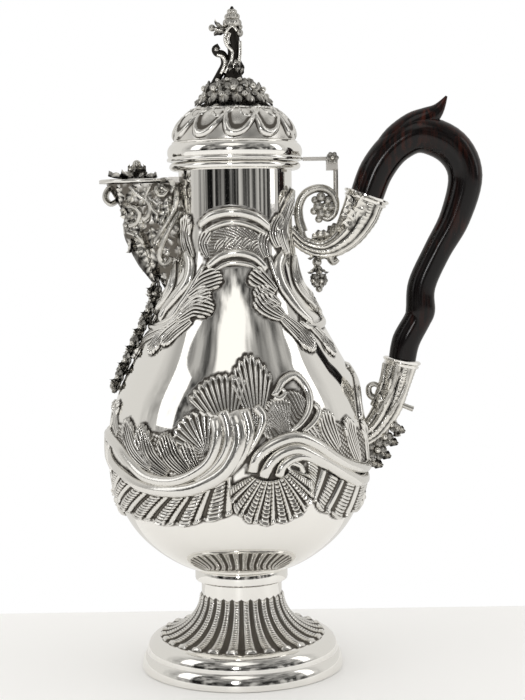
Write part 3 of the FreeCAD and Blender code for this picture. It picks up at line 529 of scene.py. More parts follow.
def fan(wall, root, aim, spread, radius, ribs, lift, drop):
    """A shell that opens from a root mark, with ribs out to a scalloped, curled edge."""
    def place(share, side):
        turn, run = root
        scallop = 1 + 0.06 * abs(math.sin(0.5 * math.pi * (ribs - ribs % 2) * side)) - drop * abs(side) ** 1.5
        reach = scallop if share > FAN_NECK else 1 + (scallop - 1) * share / FAN_NECK
        out = radius * (FAN_START + (1 - FAN_START) * share) * reach
        angle = math.radians(aim + spread * side)
        r = max(wall.at(run)[0], 1.0)
        return turn + out * math.cos(angle) / r, run + out * math.sin(angle)

    def height(share, side):
        edge = min(1.0, (1 - share) / 0.07) ** 0.5 * min(1.0, (1 - abs(side)) / 0.06) ** 0.5
        wave = abs(math.sin(math.pi * ribs * (side + 1) / 2)) ** 0.8
        curl = math.exp(-((share - 0.93) / 0.05) ** 2)
        return lift * edge * (0.55 + 0.38 * wave * (0.4 + 0.6 * share) + 0.3 * curl) - SINK
    return place, height, 30, ribs * 6


def panel(top, bottom, ribs, lift, beads, lean):
    """A fluted shell between two lines of marks: broad beaded ribs, plain ones and a curled lower edge."""
    def place(share, side):
        first, last = through(top, share), through(bottom, share - lean * share * (1 - share))
        return between(first, last, (side + 1) / 2 * (1 + 0.07 * abs(math.sin(math.pi * ribs * share))))

    def height(share, side):
        edge = ends(share, 0.02) * min(1.0, (1 - side) / 0.07) ** 0.5
        across = (ribs * share) % 1
        broad = max(0.0, 1 - (abs(across - 0.34) / 0.26) ** 4)
        plain = 0.75 * max(0.0, 1 - (abs(across - 0.8) / 0.14) ** 2)
        bead = 0.5 + 0.5 * math.cos(math.pi * beads * side)
        curl = math.exp(-((side - 0.86) / 0.08) ** 2)
        return edge * lift * (0.15 + broad * (0.5 + 0.3 * bead) + plain + 0.5 * curl) - SINK
    return place, height, 18 * ribs, 4 * beads + 3


def petal(wall, marks, width, lift):
    """An oval lobe with a raised outline and a low, smooth field."""
    def chord(share):
        return math.sqrt(max(0.0001, 1 - (2 * share - 1) ** 2))

    def place(share, side):
        turn, run = through(marks, share)
        return turn + side * width * chord(share) / max(wall.at(run)[0], 1.0), run

    def height(share, side):
        inside = max(0.0, 1 - math.hypot(side * chord(share), 2 * share - 1))
        rim = math.exp(-((inside - 0.2) / 0.1) ** 2)
        return lift * (0.35 * min(1.0, inside / 0.12) + 0.65 * rim + 0.3 * inside) - SINK
    return place, height, 34, 22


def skin(bm, rings):
    """Joins a row of rings into a closed solid."""
    loops = [list({edge for vert in ring for edge in vert.link_edges}) for ring in rings]
    for first, last in zip(loops, loops[1:]):
        bmesh.ops.bridge_loops(bm, edges=first + last)
    for cap in (loops[0], loops[-1]):
        bmesh.ops.edgeloop_fill(bm, edges=cap)


def tube(bm, points, radii, sides=10, stretch=1.0, tone=WIRE_TONE):
    """A wire through points, with a radius that changes along it; stretch widens it along Y."""
    layer = relief_layer(bm)
    count = max(8, 5 * len(points))
    spots = [Vector(through([tuple(p) for p in points], k / count)) for k in range(count + 1)]
    rings = []
    for k, spot in enumerate(spots):
        along = (spots[min(k + 1, count)] - spots[max(k - 1, 0)]).normalized()
        frame_turn = along.to_track_quat("Z", "Y").to_matrix().to_4x4()
        ring = bmesh.ops.create_circle(bm, segments=sides, radius=max(0.05, blend(radii, k / count)),
                                       matrix=Matrix.Translation(spot) @ frame_turn)["verts"]
        for vert in ring:
            vert.co.y = spot.y + (vert.co.y - spot.y) * stretch
            vert[layer] = tone
        rings.append(ring)
    skin(bm, rings)


def ball(bm, spot, radius, squash=(1, 1, 1), turn=None, tone=BEAD_TONE, rings=6):
    """A bead, or a petal if it is squashed and turned."""
    layer = relief_layer(bm)
    matrix = Matrix.Translation(spot) @ (turn or Matrix.Identity(4)) @ Matrix.Diagonal((*squash, 1))
    for vert in bmesh.ops.create_uvsphere(bm, u_segments=rings + 4, v_segments=rings, radius=radius,
                                          matrix=matrix)["verts"]:
        vert[layer] = tone


def blossom(bm, spot, facing, radius, petals=5):
    """A small flower: round petals about a core, facing a direction."""
    turn = Vector(facing).to_track_quat("Z", "Y").to_matrix().to_4x4()
    ball(bm, Vector(spot) + Vector(facing).normalized() * radius * 0.3, radius * 0.32, tone=CORE_TONE)
    for k in range(petals):
        spin = turn @ Matrix.Rotation(math.tau * k / petals, 4, "Z")
        away = spin @ Vector((radius * 0.58, 0, 0))
        tip = spin @ Matrix.Rotation(math.radians(-22), 4, "Y")
        ball(bm, Vector(spot) + away, radius * 0.45, (1, 0.85, 0.42), tip, tone=PETAL_TONE)


LEAF_LOBES = 3


def leaf(bm, spot, along, facing, length, width, curl, tone=LEAF_TONE):
    """A free leaf from a spot: it runs along one direction, faces another and curls at its tip."""
    layer = relief_layer(bm)
    along = Vector(along).normalized()
    side = Vector(facing).cross(along).normalized()
    out = along.cross(side).normalized()
    grid = bmesh.ops.create_grid(bm, x_segments=14, y_segments=8, size=1)["verts"]
    for vert in grid:
        share = (vert.co.x + 1) / 2
        t = vert.co.y
        half = width * math.sin(math.pi * min(0.97, 0.1 + 0.87 * share)) ** 0.7
        half *= 1 + 0.13 * math.cos(math.tau * LEAF_LOBES * share)
        vein = math.cos(math.tau * LEAF_LOBES * (share - 0.2 * abs(t)))
        lift = 0.09 * width * (vein * (1 - t * t) - 3.0 * t * t) + curl * length * share ** 3
        lift += 0.3 * width * math.exp(-(t / 0.16) ** 2)
        # Painted highlight along the midrib and veins, painted shade towards the curled edges
        value = tone + 0.16 * vein + 0.2 * math.exp(-(t / 0.2) ** 2) - 0.28 * t * t
        vert[layer] = min(1.0, max(0.0, value))
        reach = along * length * share * (1 - 0.25 * curl * share)
        vert.co = Vector(spot) + reach + side * half * t + out * lift


def mirror_copy(bm):
    """Adds the twin of everything in the mesh on the far side of the pot."""
    twin = bmesh.ops.duplicate(bm, geom=bm.verts[:] + bm.edges[:] + bm.faces[:])["geom"]
    verts = [item for item in twin if isinstance(item, bmesh.types.BMVert)]
    faces = [item for item in twin if isinstance(item, bmesh.types.BMFace)]
    for vert in verts:
        vert.co.y = -vert.co.y
    bmesh.ops.reverse_faces(bm, faces=faces)


def outward(turn):
    """The level direction away from the pot's axis at a turn."""
    return Vector((math.sin(turn), -math.cos(turn), 0))


def tidy(bm):
    """Points every face of a finished mesh outwards."""
    bmesh.ops.recalc_face_normals(bm, faces=bm.faces)
    return bm


def leaning(centre, tilt):
    """A place on the handle, leaning by a tilt in degrees."""
    return Matrix.Translation(centre) @ Matrix.Rotation(math.radians(tilt), 4, "Y")


def loft(rings, sides=28):
    """A closed solid through ellipses given as (centre, half width, half depth, tilt in degrees)."""
    bm = bmesh.new()
    loops = []
    for centre, half, depth, tilt in rings:
        matrix = leaning(centre, tilt) @ Matrix.Diagonal((half, depth, 1, 1))
        loops.append(bmesh.ops.create_circle(bm, segments=sides, radius=1, matrix=matrix)["verts"])
    skin(bm, loops)
    return tidy(bm)


# The vessel

VESSEL_FOOT = 46.0
NECK_RADIUS = 25.5
NECK_FOOT = 205.0
VESSEL_POLES = [(20.0, VESSEL_FOOT), (25.5, VESSEL_FOOT), (48.7, 59.5), (59.7, 87.4), (57.9, 126.3),
                (41.5, 149.7), (NECK_RADIUS, 184.3), (NECK_RADIUS, NECK_FOOT)]
SHEET = 1.1
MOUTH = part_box("body_shell")[1].z / MM
# Reach and depth of the painted shade beside the chasing
SHADOW_REACH = 1.1
SHADOW_DEPTH = 0.85
VESSEL_STEPS = 320
NECK_STEPS = 16
INSIDE_EVERY = 4
vessel_outline = flow(VESSEL_POLES, 22)
vessel_outline += [(NECK_RADIUS, NECK_FOOT + (MOUTH - NECK_FOOT) * (k + 1) / NECK_STEPS)
                   for k in range(NECK_STEPS)]
vessel_wall = Wall(vessel_outline)


def make_vessel():
    """The raised vessel, with painted shade close beside the chasing."""
    inside = []
    for (r, z), (out, rise) in zip(vessel_outline, vessel_wall.normals):
        inside.append((max(r - SHEET * out, 0.01), min(z - SHEET * rise, MOUTH)))
    outline = [(0.0, VESSEL_FOOT)] + vessel_outline + inside[::-INSIDE_EVERY] + [(0.0, inside[0][1])]
    bm = turned(outline, VESSEL_STEPS)
    edges = KDTree(len(chased_edges))
    for k, spot in enumerate(chased_edges):
        edges.insert(spot, k)
    edges.balance()
    layer = relief_layer(bm)
    for vert in bm.verts:
        away = edges.find(vert.co)[2]
        vert[layer] = 1.0 - SHADOW_DEPTH * math.exp(-(away / SHADOW_REACH) ** 2)
    finish("vessel", bm, "pot", SHADED, ["body_shell"])


# Chased ornament of the belly, as pixels of the picture
WAVE_SCROLLS = [
    # marks, half widths, lifts
    ([(107, 471), (100, 457), (102, 441), (109, 433), (120, 446), (132, 462), (147, 476), (166, 481),
      (182, 479), (197, 472), (209, 462), (216, 447), (218, 430), (214, 416)], (1.6, 2.3, 2.4, 2.2, 2.6),
     (2.6, 3.0, 3.0, 3.0)),
    ([(109, 447), (115, 462), (126, 474), (142, 485), (166, 490), (190, 489), (209, 482), (224, 472),
      (233, 459), (239, 443), (238, 426), (231, 411)], (1.2, 2.4, 2.9, 3.0, 3.2), (2.2, 3.2, 3.4, 3.2)),
    ([(193, 483), (212, 470), (224, 455), (229, 438), (227, 422), (222, 410)], (0.8, 1.8, 2.2, 2.4),
     (2.0, 2.8, 3.0)),
    ([(222, 482), (239, 462), (247, 445), (249, 428), (243, 408)], (1.0, 1.8, 2.2, 2.3), (2.0, 2.6, 2.8)),
    ([(235, 466), (249, 451), (260, 430), (262, 416), (254, 406)], (0.8, 1.4, 1.8, 2.0), (1.4, 2.2, 2.4)),
    ([(252, 474), (256, 459), (268, 447), (285, 439), (300, 438), (316, 445), (331, 456), (346, 464),
      (362, 467), (373, 461)], (2.0, 2.4, 2.6, 2.4, 2.2), (2.6, 3.2, 3.2, 2.8)),
    ([(263, 479), (269, 464), (281, 453), (297, 449), (312, 455), (329, 465), (344, 474), (358, 480),
      (367, 474)], (2.2, 2.3, 2.4, 2.6, 2.4), (2.6, 3.0, 3.0, 2.8)),
    ([(278, 478), (282, 466), (293, 458), (306, 457), (320, 464), (337, 474)], (2.0, 1.9, 1.7, 0.9),
     (2.4, 2.6, 2.0)),
    ([(273, 397), (277, 391), (283, 381), (293, 376), (302, 383), (308, 395), (308, 409), (301, 422),
      (289, 433)], (1.3, 1.6, 1.7, 1.5, 1.0), (1.8, 2.0, 2.0)),
    ([(273, 397), (279, 399), (284, 394), (281, 389)], (1.3, 1.1, 0.8), (1.8, 1.8)),
    ([(313, 404), (318, 411), (313, 422), (302, 432)], (0.9, 1.4, 1.0), (1.4, 1.8, 1.6)),
    ([(293, 473), (288, 467), (292, 463), (300, 466), (303, 474)], (0.7, 1.1, 1.3), (1.4, 1.6)),
    ([(360, 420), (358, 403), (356, 388), (352, 374), (346, 365)], (1.4, 1.8, 1.8, 1.0), (1.6, 2.0, 1.6)),
]
BELLY_FRONDS = [
    # marks, half width, lift, lobes
    ([(153, 468), (134, 447), (128, 418)], 4.2, 1.9, 6), ([(170, 474), (149, 455), (143, 424)], 4.6, 2.0, 7),
    ([(189, 473), (172, 455), (166, 432)], 4.6, 2.0, 7), ([(198, 470), (190, 455), (186, 442)], 3.4, 1.7, 5),
    ([(109, 432), (105, 416), (111, 402)], 3.2, 1.6, 4), ([(119, 434), (116, 416), (121, 402)], 3.4, 1.6, 4),
    ([(337, 449), (329, 432), (321, 411)], 4.8, 1.8, 6), ([(358, 463), (352, 443), (344, 417)], 4.2, 1.8, 6),
    ([(366, 464), (366, 447), (360, 421)], 3.2, 1.6, 5), ([(320, 447), (313, 436), (306, 428)], 3.0, 1.4, 4),
]
BELLY_FANS = [
    # root, aim and half spread in degrees, reach, ribs, lift, edge drop at the sides
    ((208, 455), 118, 46, 19.0, 9, 1.7, 0.12), ((230, 437), 106, 36, 27.0, 11, 1.6, 0.10),
    ((257, 436), 93, 24, 35.0, 9, 1.9, 0.30), ((289, 436), 116, 36, 17.0, 13, 1.1, 0.16),
]
BELLY_SHELLS = [
    # upper line, lower line, ribs, beads on each rib, lean
    ([(117, 468), (126, 477), (140, 488), (163, 494), (189, 493), (212, 484), (232, 471)],
     [(113, 488), (119, 501), (131, 512), (153, 520), (178, 524), (205, 520), (234, 512)], 7, 11, 0.3),
    ([(252, 476), (262, 480), (273, 480), (283, 476), (290, 468)],
     [(228, 486), (233, 504), (243, 516), (258, 522), (276, 521), (293, 517), (306, 506), (310, 491),
      (307, 473)], 8, 11, 0.0),
    ([(306, 460), (327, 473), (344, 481), (359, 483), (370, 474)],
     [(309, 489), (314, 502), (325, 511), (340, 516), (354, 508), (365, 493)], 4, 11, 0.2),
]
END_SHELLS = [
    # turn, height of the root, half spread in degrees, reach: below the spout and below the handle
    (-math.pi / 2, 101.0, 40, 31.0), (math.pi / 2, 99.0, 40, 27.0),
]

# Chased ornament of the neck and shoulder
NECK_SCROLLS = [
    # marks, half widths, lifts
    ([(199, 226), (212, 216), (233, 212), (255, 217), (271, 229)], (1.9, 2.3, 2.4, 2.3, 1.9),
     (2.0, 2.3, 2.0)),
    ([(204, 233), (216, 226), (233, 222), (251, 226), (267, 235)], (1.1, 1.4, 1.5, 1.4, 1.1),
     (1.5, 1.8, 1.5)),
    ([(207, 268), (220, 257), (237, 253), (255, 258), (267, 270)], (1.8, 2.1, 2.2, 2.1, 1.8),
     (2.0, 2.3, 2.0)),
    ([(211, 274), (224, 265), (237, 263), (252, 266), (262, 274)], (1.0, 1.2, 1.3, 1.2, 1.0),
     (1.4, 1.7, 1.4)),
    ([(185, 250), (190, 263), (188, 280), (177, 295), (167, 308), (160, 322)], (2.4, 3.2, 3.4, 3.2, 1.6),
     (2.2, 2.6, 2.4)),
    ([(149, 297), (146, 312), (149, 325), (160, 328), (172, 322), (184, 310)], (1.3, 1.8, 1.8, 1.0),
     (1.8, 2.2, 1.6)),
    ([(149, 330), (167, 321), (182, 303), (195, 282), (205, 265)], (0.9, 1.5, 1.5, 1.0), (1.6, 2.0, 1.6)),
    ([(284, 252), (278, 265), (281, 282), (291, 299), (302, 313), (313, 324)], (2.4, 3.1, 3.3, 3.0, 1.6),
     (2.2, 2.6, 2.4)),
    ([(318, 292), (324, 305), (322, 320), (310, 327), (299, 321)], (1.3, 1.8, 1.8, 1.0), (1.8, 2.2, 1.6)),
    ([(269, 256), (277, 280), (291, 302), (306, 319), (321, 329)], (1.0, 1.5, 1.5, 0.9), (1.6, 2.0, 1.6)),
]
NECK_FRONDS = [
    # marks, half width, lift, lobes
    ([(193, 259), (186, 236), (190, 215)], 4.0, 1.9, 5), ([(287, 255), (281, 226), (291, 190)], 3.6, 1.8, 7),
    ([(278, 248), (274, 232), (280, 214)], 3.2, 1.6, 5), ([(175, 254), (172, 284), (152, 314)], 4.2, 1.9, 9),
    ([(293, 255), (299, 284), (320, 314)], 4.2, 1.9, 9), ([(188, 297), (204, 283), (223, 277)], 4.8, 1.9, 6),
    ([(178, 320), (195, 307), (214, 311)], 5.0, 1.9, 6), ([(182, 312), (196, 298), (212, 293)], 4.0, 1.7, 5),
    ([(275, 293), (260, 280), (250, 273)], 4.6, 1.9, 5), ([(283, 318), (268, 307), (258, 295)], 5.0, 1.9, 6),
    ([(279, 306), (265, 296), (257, 286)], 4.0, 1.7, 5), ([(180, 321), (161, 337), (151, 355)], 4.0, 1.8, 7),
    ([(172, 326), (144, 341), (127, 359)], 3.4, 1.6, 7), ([(192, 320), (174, 333), (163, 346)], 3.4, 1.6, 5),
    ([(281, 317), (300, 334), (313, 352)], 4.2, 1.8, 7), ([(305, 321), (321, 336), (334, 356)], 3.6, 1.6, 7),
    ([(209, 258), (204, 243), (211, 231)], 2.6, 1.3, 4), ([(266, 258), (262, 243), (265, 231)], 2.6, 1.3, 4),
    ([(216, 252), (218, 246), (224, 240)], 1.7, 1.2, 3), ([(224, 249), (227, 243), (232, 238)], 1.7, 1.2, 3),
    ([(233, 248), (236, 242), (241, 237)], 1.7, 1.2, 3), ([(242, 248), (245, 243), (250, 239)], 1.7, 1.2, 3),
    ([(251, 251), (253, 246), (258, 242)], 1.7, 1.2, 3),
]
NECK_GROUND = ([(205, 237), (218, 229), (234, 226), (250, 229), (264, 238)],
               [(210, 264), (222, 254), (237, 250), (252, 254), (264, 264)])
BELLY_GROUNDS = [
    # upper line, lower line of each field darkened with oxide and painted shade
    ([(112, 436), (119, 424), (135, 430), (150, 432), (172, 436), (196, 440)],
     [(116, 446), (128, 458), (141, 470), (166, 477), (190, 474), (208, 460)]),
    ([(270, 402), (276, 396), (288, 390), (299, 392), (306, 400)],
     [(262, 432), (268, 440), (280, 438), (290, 433), (301, 421)]),
    ([(302, 436), (312, 424), (326, 420), (344, 424), (364, 432)],
     [(306, 438), (316, 444), (332, 455), (348, 464), (364, 466)]),
]

SCROLL_WIDENING = 1.2
SCROLL_RAISING = 1.25
SCROLL_CELLS = 90
SHELL_LIFT = 2.0
END_SHELL_RIBS = 9
END_SHELL_LIFT = 2.3
END_SHELL_DROP = 0.2
# Low tone of the punched fields: oxide and painted shade
GROUND_TONE = 0.3


def chase(name, shapes, tone=RELIEF_TONE, replaced=(), single=()):
    """One relief piece on the vessel, made of many shapes; single ones have no twin on the far side."""
    bm = bmesh.new()
    for shape in shapes:
        emboss(bm, vessel_wall, shape, tone=tone)
    for shape in single:
        emboss(bm, vessel_wall, shape, mirrored=False, tone=tone)
    finish(name, bm, "pot", CHASED, replaced, thickness=RELIEF_SHEET)


def ground(top, bottom):
    """A flat punched field between two lines of marks."""
    def place(share, side):
        return between(through(top, share), through(bottom, share), (side + 1) / 2)

    def height(share, side):
        punch = math.sin(140 * share) * math.sin(26 * side + 70 * share)
        return min(ends(share, 0.04), (1 - abs(side)) / 0.1, 1.0) * (0.5 + 0.16 * punch) - SINK
    return place, height, 110, 34


def belly_scroll(pixels, widths, lifts):
    widths = [SCROLL_WIDENING * width for width in widths]
    lifts = [SCROLL_RAISING * lift for lift in lifts]
    return band(vessel_wall, vessel_wall.marks(pixels), widths, lifts, SCROLL_CELLS)


def leafy(pixels, width, lift, lobes):
    return frond(vessel_wall, vessel_wall.marks(pixels), width, lift, lobes)


def belly_fan(root, aim, spread, reach, ribs, lift, drop):
    return fan(vessel_wall, vessel_wall.seen(root), aim, spread, reach, ribs, lift, drop)


def belly_shell(upper, lower, ribs, beads, lean):
    return panel(vessel_wall.marks(upper), vessel_wall.marks(lower), ribs, SHELL_LIFT, beads, lean)


def end_shell(turn, height, spread, reach):
    root = (turn, vessel_wall.level(height))
    return fan(vessel_wall, root, -90, spread, reach, END_SHELL_RIBS, END_SHELL_LIFT, END_SHELL_DROP)


def make_chasing():
    """The relief of the belly and the neck, one piece for each kind of ornament."""
    on = vessel_wall.marks
    chase("belly_scrolls", [belly_scroll(*row) for row in WAVE_SCROLLS],
          replaced=["wave_scroll_left", "wave_scroll_near", "wave_scroll_far"])
    chase("belly_leaves", [leafy(*row) for row in BELLY_FRONDS] + [belly_fan(*row) for row in BELLY_FANS])
    chase("belly_shells", [belly_shell(*row) for row in BELLY_SHELLS],
          single=[end_shell(*row) for row in END_SHELLS])
    fields = BELLY_GROUNDS + [NECK_GROUND]
    chase("punched_grounds", [ground(on(upper), on(lower)) for upper, lower in fields], GROUND_TONE)
    scrolls = [band(vessel_wall, on(pixels), widths, lifts) for pixels, widths, lifts in NECK_SCROLLS]
    chase("neck_scrolls", scrolls, replaced=["neck_scroll_near", "neck_scroll_far"])
    chase("neck_leaves", [leafy(*row) for row in NECK_FRONDS])


make_chasing()
make_vessel()

# The foot

FOOT_TOP = 14.6
TRUMPET_RADIUS = 38.4
STEM_RADIUS = 18.4
STEM_TOP = 41.0
RING_OUTLINE = (
    [(42.0, 0.0), (45.6, 0.0), (46.2, 0.4), (46.2, 1.4)]
    + flow([(46.2, 1.4), (46.1, 4.2), (45.2, 6.4), (43.9, 7.5)], 8) + [(43.9, 8.1)]
    + flow([(43.9, 8.1), (43.9, 11.0), (42.2, 13.5), (39.6, 14.4)], 8)
    + [(TRUMPET_RADIUS, FOOT_TOP), (36.4, FOOT_TOP), (36.4, 13.4), (40.0, 9.0), (42.0, 4.0)])
RING_STEPS = 200
FOOT_COLLAR = [(12.0, 39.8), (18.6, 39.8), (20.2, 40.0), (21.0, 40.5), (21.2, 41.2), (21.2, 45.2),
               (20.9, 45.8), (20.2, 46.0), (12.0, 46.0)]
trumpet_sweep = 0.43 * TRUMPET_RADIUS + 0.57 * STEM_RADIUS
trumpet_outline = flow(
    [(TRUMPET_RADIUS, FOOT_TOP), (trumpet_sweep, 15.5), (STEM_RADIUS, 24.0), (STEM_RADIUS, 33.4)], 24)
trumpet_outline.append((STEM_RADIUS, STEM_TOP))
trumpet_wall = Wall(trumpet_outline)
TRUMPET_SHEET = 1.2
FLUTES = 28
FLUTE_TOP = 34.5
FLUTE_MARGIN = 0.4
FLUTE_BEADS = 24
FLUTE_CELLS = 12
FLUTE_ROWS = 96


def foot_flutes():
    """Beaded ribs and flutes darkened with oxide and painted shade round the whole trumpet, each rib ending
    in a small lobe.
    """
    first, last = trumpet_wall.run[0], trumpet_wall.level(FLUTE_TOP)

    def place(share, side):
        lobe = 0.05 * abs(math.sin(math.pi * FLUTES * share))
        f = (side + 1) / 2
        return math.tau * share, first + FLUTE_MARGIN + (last - first) * f * (1 - lobe * f)

    def height(share, side):
        rib = max(0.0, 1 - (abs((FLUTES * share) % 1 - 0.5) / 0.34) ** 4)
        bead = 0.5 + 0.5 * math.cos(FLUTE_BEADS * math.pi * side)
        lobe = math.exp(-((side + 0.9) / 0.08) ** 2) * abs(math.sin(math.pi * FLUTES * share))
        edge = min(1.0, (1 - abs(side)) / 0.05) ** 0.5
        return edge * (0.45 + rib * (0.75 + 0.25 * bead) + 0.6 * lobe) - SINK
    return place, height, FLUTES * FLUTE_CELLS, FLUTE_ROWS


def make_foot():
    """The base, the stem with its flutes, and the band under the vessel."""
    finish("foot_base", turned(RING_OUTLINE, RING_STEPS), "pot", POLISHED, ["foot_ring"])
    inner = [(r - TRUMPET_SHEET, z) for r, z in trumpet_outline]
    stem = turned(trumpet_outline + inner[::-1])
    finish("foot_stem", stem, "pot", POLISHED, ["foot_trumpet"])
    bm = bmesh.new()
    emboss(bm, trumpet_wall, foot_flutes(), mirrored=False)
    bmesh.ops.remove_doubles(bm, verts=bm.verts, dist=1e-4)
    finish("foot_flutes", bm, "pot", CHASED, thickness=RELIEF_SHEET)
    finish("foot_band", turned(FOOT_COLLAR), "pot", POLISHED, ["foot_collar"])


make_foot()

# The lid

DOME_POLES = [(27.3, 239.2), (27.3, 244.4), (21.8, 252.1), (12.3, 256.4), (1.6, 256.4)]
dome_outline = flow(DOME_POLES, 16)
dome_wall = Wall(dome_outline)
DOME_HOLE = 1.6
DOME_SHOULDER = 20
LOBES = 11
LOBE_FOOT = 239.6
LOBE_WAIST = 251.0
LOBE_TOP = 255.6
LOBE_LEAN = 0.16
LID_TONE = 0.6
FLANGE_OUTLINE = (
    [(26.2, 231.6), (29.6, 230.4), (30.4, 230.6), (30.6, 231.2), (30.4, 231.9), (29.8, 232.2)]
    + flow([(29.8, 232.2), (31.0, 234.2), (30.2, 237.4), (28.2, 238.4)], 6)
    + [(28.3, 238.9), (27.6, 239.4), (26.2, 239.2)])
MOUTH_OUTLINE = (
    [(25.6, 226.2), (27.0, 226.2)]
    + flow([(27.0, 226.2), (30.2, 226.4), (30.2, 229.2), (28.0, 230.0)], 6) + [(25.6, 230.0)])


def make_lid():
    """The dome with two rows of lobes, its band, and the moulding of the mouth below it."""
    inner = [(max(r - SHEET, DOME_HOLE), z - (SHEET if r < DOME_SHOULDER else 0.0)) for r, z in dome_outline]
    finish("lid_dome_skin", turned(dome_outline + inner[::-1]), "lid", SATIN, ["lid_dome"])
    bm = bmesh.new()
    foot, waist, top = (dome_wall.level(height) for height in (LOBE_FOOT, LOBE_WAIST, LOBE_TOP))
    for k in range(LOBES):
        turn = math.tau * k / LOBES
        lower = [(turn, foot), (turn + LOBE_LEAN, waist), (turn + LOBE_LEAN, waist + 3)]
        emboss(bm, dome_wall, petal(dome_wall, lower, 8.2, 1.4), mirrored=False, tone=LID_TONE)
        turn += math.pi / LOBES
        upper = [(turn, waist - 4), (turn + LOBE_LEAN, top)]
        emboss(bm, dome_wall, petal(dome_wall, upper, 5.6, 1.3), mirrored=False, tone=LID_TONE)
    finish("lid_lobes", bm, "lid", CHASED, thickness=RELIEF_SHEET)
    finish("lid_band", turned(FLANGE_OUTLINE), "lid", POLISHED, ["lid_flange"])
    finish("mouth_moulding", turned(MOUTH_OUTLINE), "pot", POLISHED, ["mouth_rim"])


make_lid()

# The finial, as pixels of the picture

FINIAL_TRUNK = [(233, 80), (233, 66), (234, 53), (233, 40), (232, 25)]
# Bright wires along the stem, in front and behind, that stand in as painted highlights
FINIAL_HIGHLIGHT_LINES = [
    [(225, 73), (229, 66), (232, 58), (232, 51), (227, 45), (225, 38), (228, 29), (233, 26), (237, 31)],
    [(229, 44), (228, 39), (230, 33)], [(239, 62), (240, 52), (240, 41)],
    [(237, 75), (234, 70), (234, 65), (237, 62), (239, 65)], [(221, 74), (225, 64), (223, 57), (217, 55)]]
FINIAL_STALK = [(230, 29), (221, 30), (212, 28)]
FINIAL_CURL = [(213, 86), (220, 74), (225, 64), (223, 55), (217, 53), (215, 49), (219, 46)]
FINIAL_BALLS = [((216, 50), 1.7), ((239, 33), 1.9), ((212, 28), 1.6), ((240, 27), 1.2)]
FINIAL_BUD = (232, 14)
FINIAL_LEAVES_ROOT = (229, 28)
FINIAL_FOOT = (234, 78)
FOOT_LEAVES = 9
# rise, distance from the axis, radius and count of each row of beads on the bud
BUD_ROWS = [(-4.0, 2.4, 1.9, 6), (-1.3, 2.0, 1.6, 6), (0.9, 1.2, 1.3, 4)]
# Near-black painted shade of the trunk, the curl and the bud
FINIAL_SHADE_TONE = 0.25
LINE_DEPTH = 2.6
WREATH_LEAVES = 16
WREATH_FLOWERS = 9


def on_axis(pixels, y=0.0):
    """Where a line of pixels meets the upright plane through the axis, or one a depth from it."""
    return [on_plane(pixel, y) for pixel in pixels]


def make_finial():
    """A cast stem painted near black for shade, with bright wires along it as painted highlights, a curl,
    leaves and a beaded bud.
    """
    bm = bmesh.new()
    tube(bm, on_axis(FINIAL_TRUNK), (4.6, 3.2, 2.8, 3.0, 2.4), 14, tone=FINIAL_SHADE_TONE)
    tube(bm, on_axis(FINIAL_CURL), (1.6, 1.9, 1.7, 1.3), tone=FINIAL_SHADE_TONE)
    tube(bm, on_axis(FINIAL_STALK), (1.3, 1.1, 0.9))
    for line in FINIAL_HIGHLIGHT_LINES:
        for y in (-LINE_DEPTH, LINE_DEPTH):
            tube(bm, on_axis(line, y), (0.75, 0.8, 0.7), 8, tone=BRIGHT_TONE)
    for pixel, radius in FINIAL_BALLS:
        ball(bm, on_plane(pixel), radius, rings=10)
    head = on_plane(FINIAL_BUD)
    tube(bm, [head - UP * 5, head, head + UP * 3.4], (2.2, 1.9, 0.4), tone=FINIAL_SHADE_TONE)
    for rise, out, radius, count in BUD_ROWS:
        for k in range(count):
            turn = math.tau * (k / count + 0.1 * rise)
            ball(bm, head + Vector((out * math.sin(turn), -out * math.cos(turn), rise)), radius, rings=10)
    root = on_plane(FINIAL_LEAVES_ROOT)
    leaf(bm, root, (-1, -0.2, 0.15), (0.1, -0.6, 1), 7.6, 2.8, 0.3)
    leaf(bm, root, (-1, 0.3, -0.1), (0.1, 0.6, 1), 6.6, 2.6, -0.3)
    base = on_plane(FINIAL_FOOT)
    for k in range(FOOT_LEAVES):
        out = outward(math.tau * k / FOOT_LEAVES)
        leaf(bm, base + out * 1.5, out + UP * 1.5, UP - out * 0.3, 9.0, 2.6, 0.5)
    finish("finial_spray", tidy(bm), "lid", CAST, ["finial_stem", "finial_bud"])


def make_wreath():
    """Leaves and flowers heaped on the top of the dome."""
    bm = bmesh.new()
    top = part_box("lid_dome")[1].z / MM
    tube(bm, [UP * (top - 0.6), UP * (top + 3), UP * (top + 7)], (11.0, 10.0, 5.0), 24)
    for k in range(WREATH_LEAVES):
        out = outward(math.tau * (k + 0.3) / WREATH_LEAVES)
        leaf(bm, out * 7.5 + UP * (top + 4.5), out - UP * 0.1, UP + out * 0.5, 9.6, 3.6, -0.42)
    for k in range(WREATH_FLOWERS):
        turn = math.tau * k / WREATH_FLOWERS
        out = outward(turn)
        blossom(bm, out * 12.3 + UP * (top + 5.2 + 0.8 * (k % 2)), out + UP * 0.45, 4.3)
        out = outward(turn + math.pi / WREATH_FLOWERS)
        blossom(bm, out * 7.6 + UP * (top + 9.0), out * 0.6 + UP, 3.4)
        ball(bm, out * 14.8 + UP * (top + 3.0), 1.5)
    finish("finial_flowers", tidy(bm), "lid", CAST, ["finial_wreath"])


make_finial()
make_wreath()

# The ebony grip

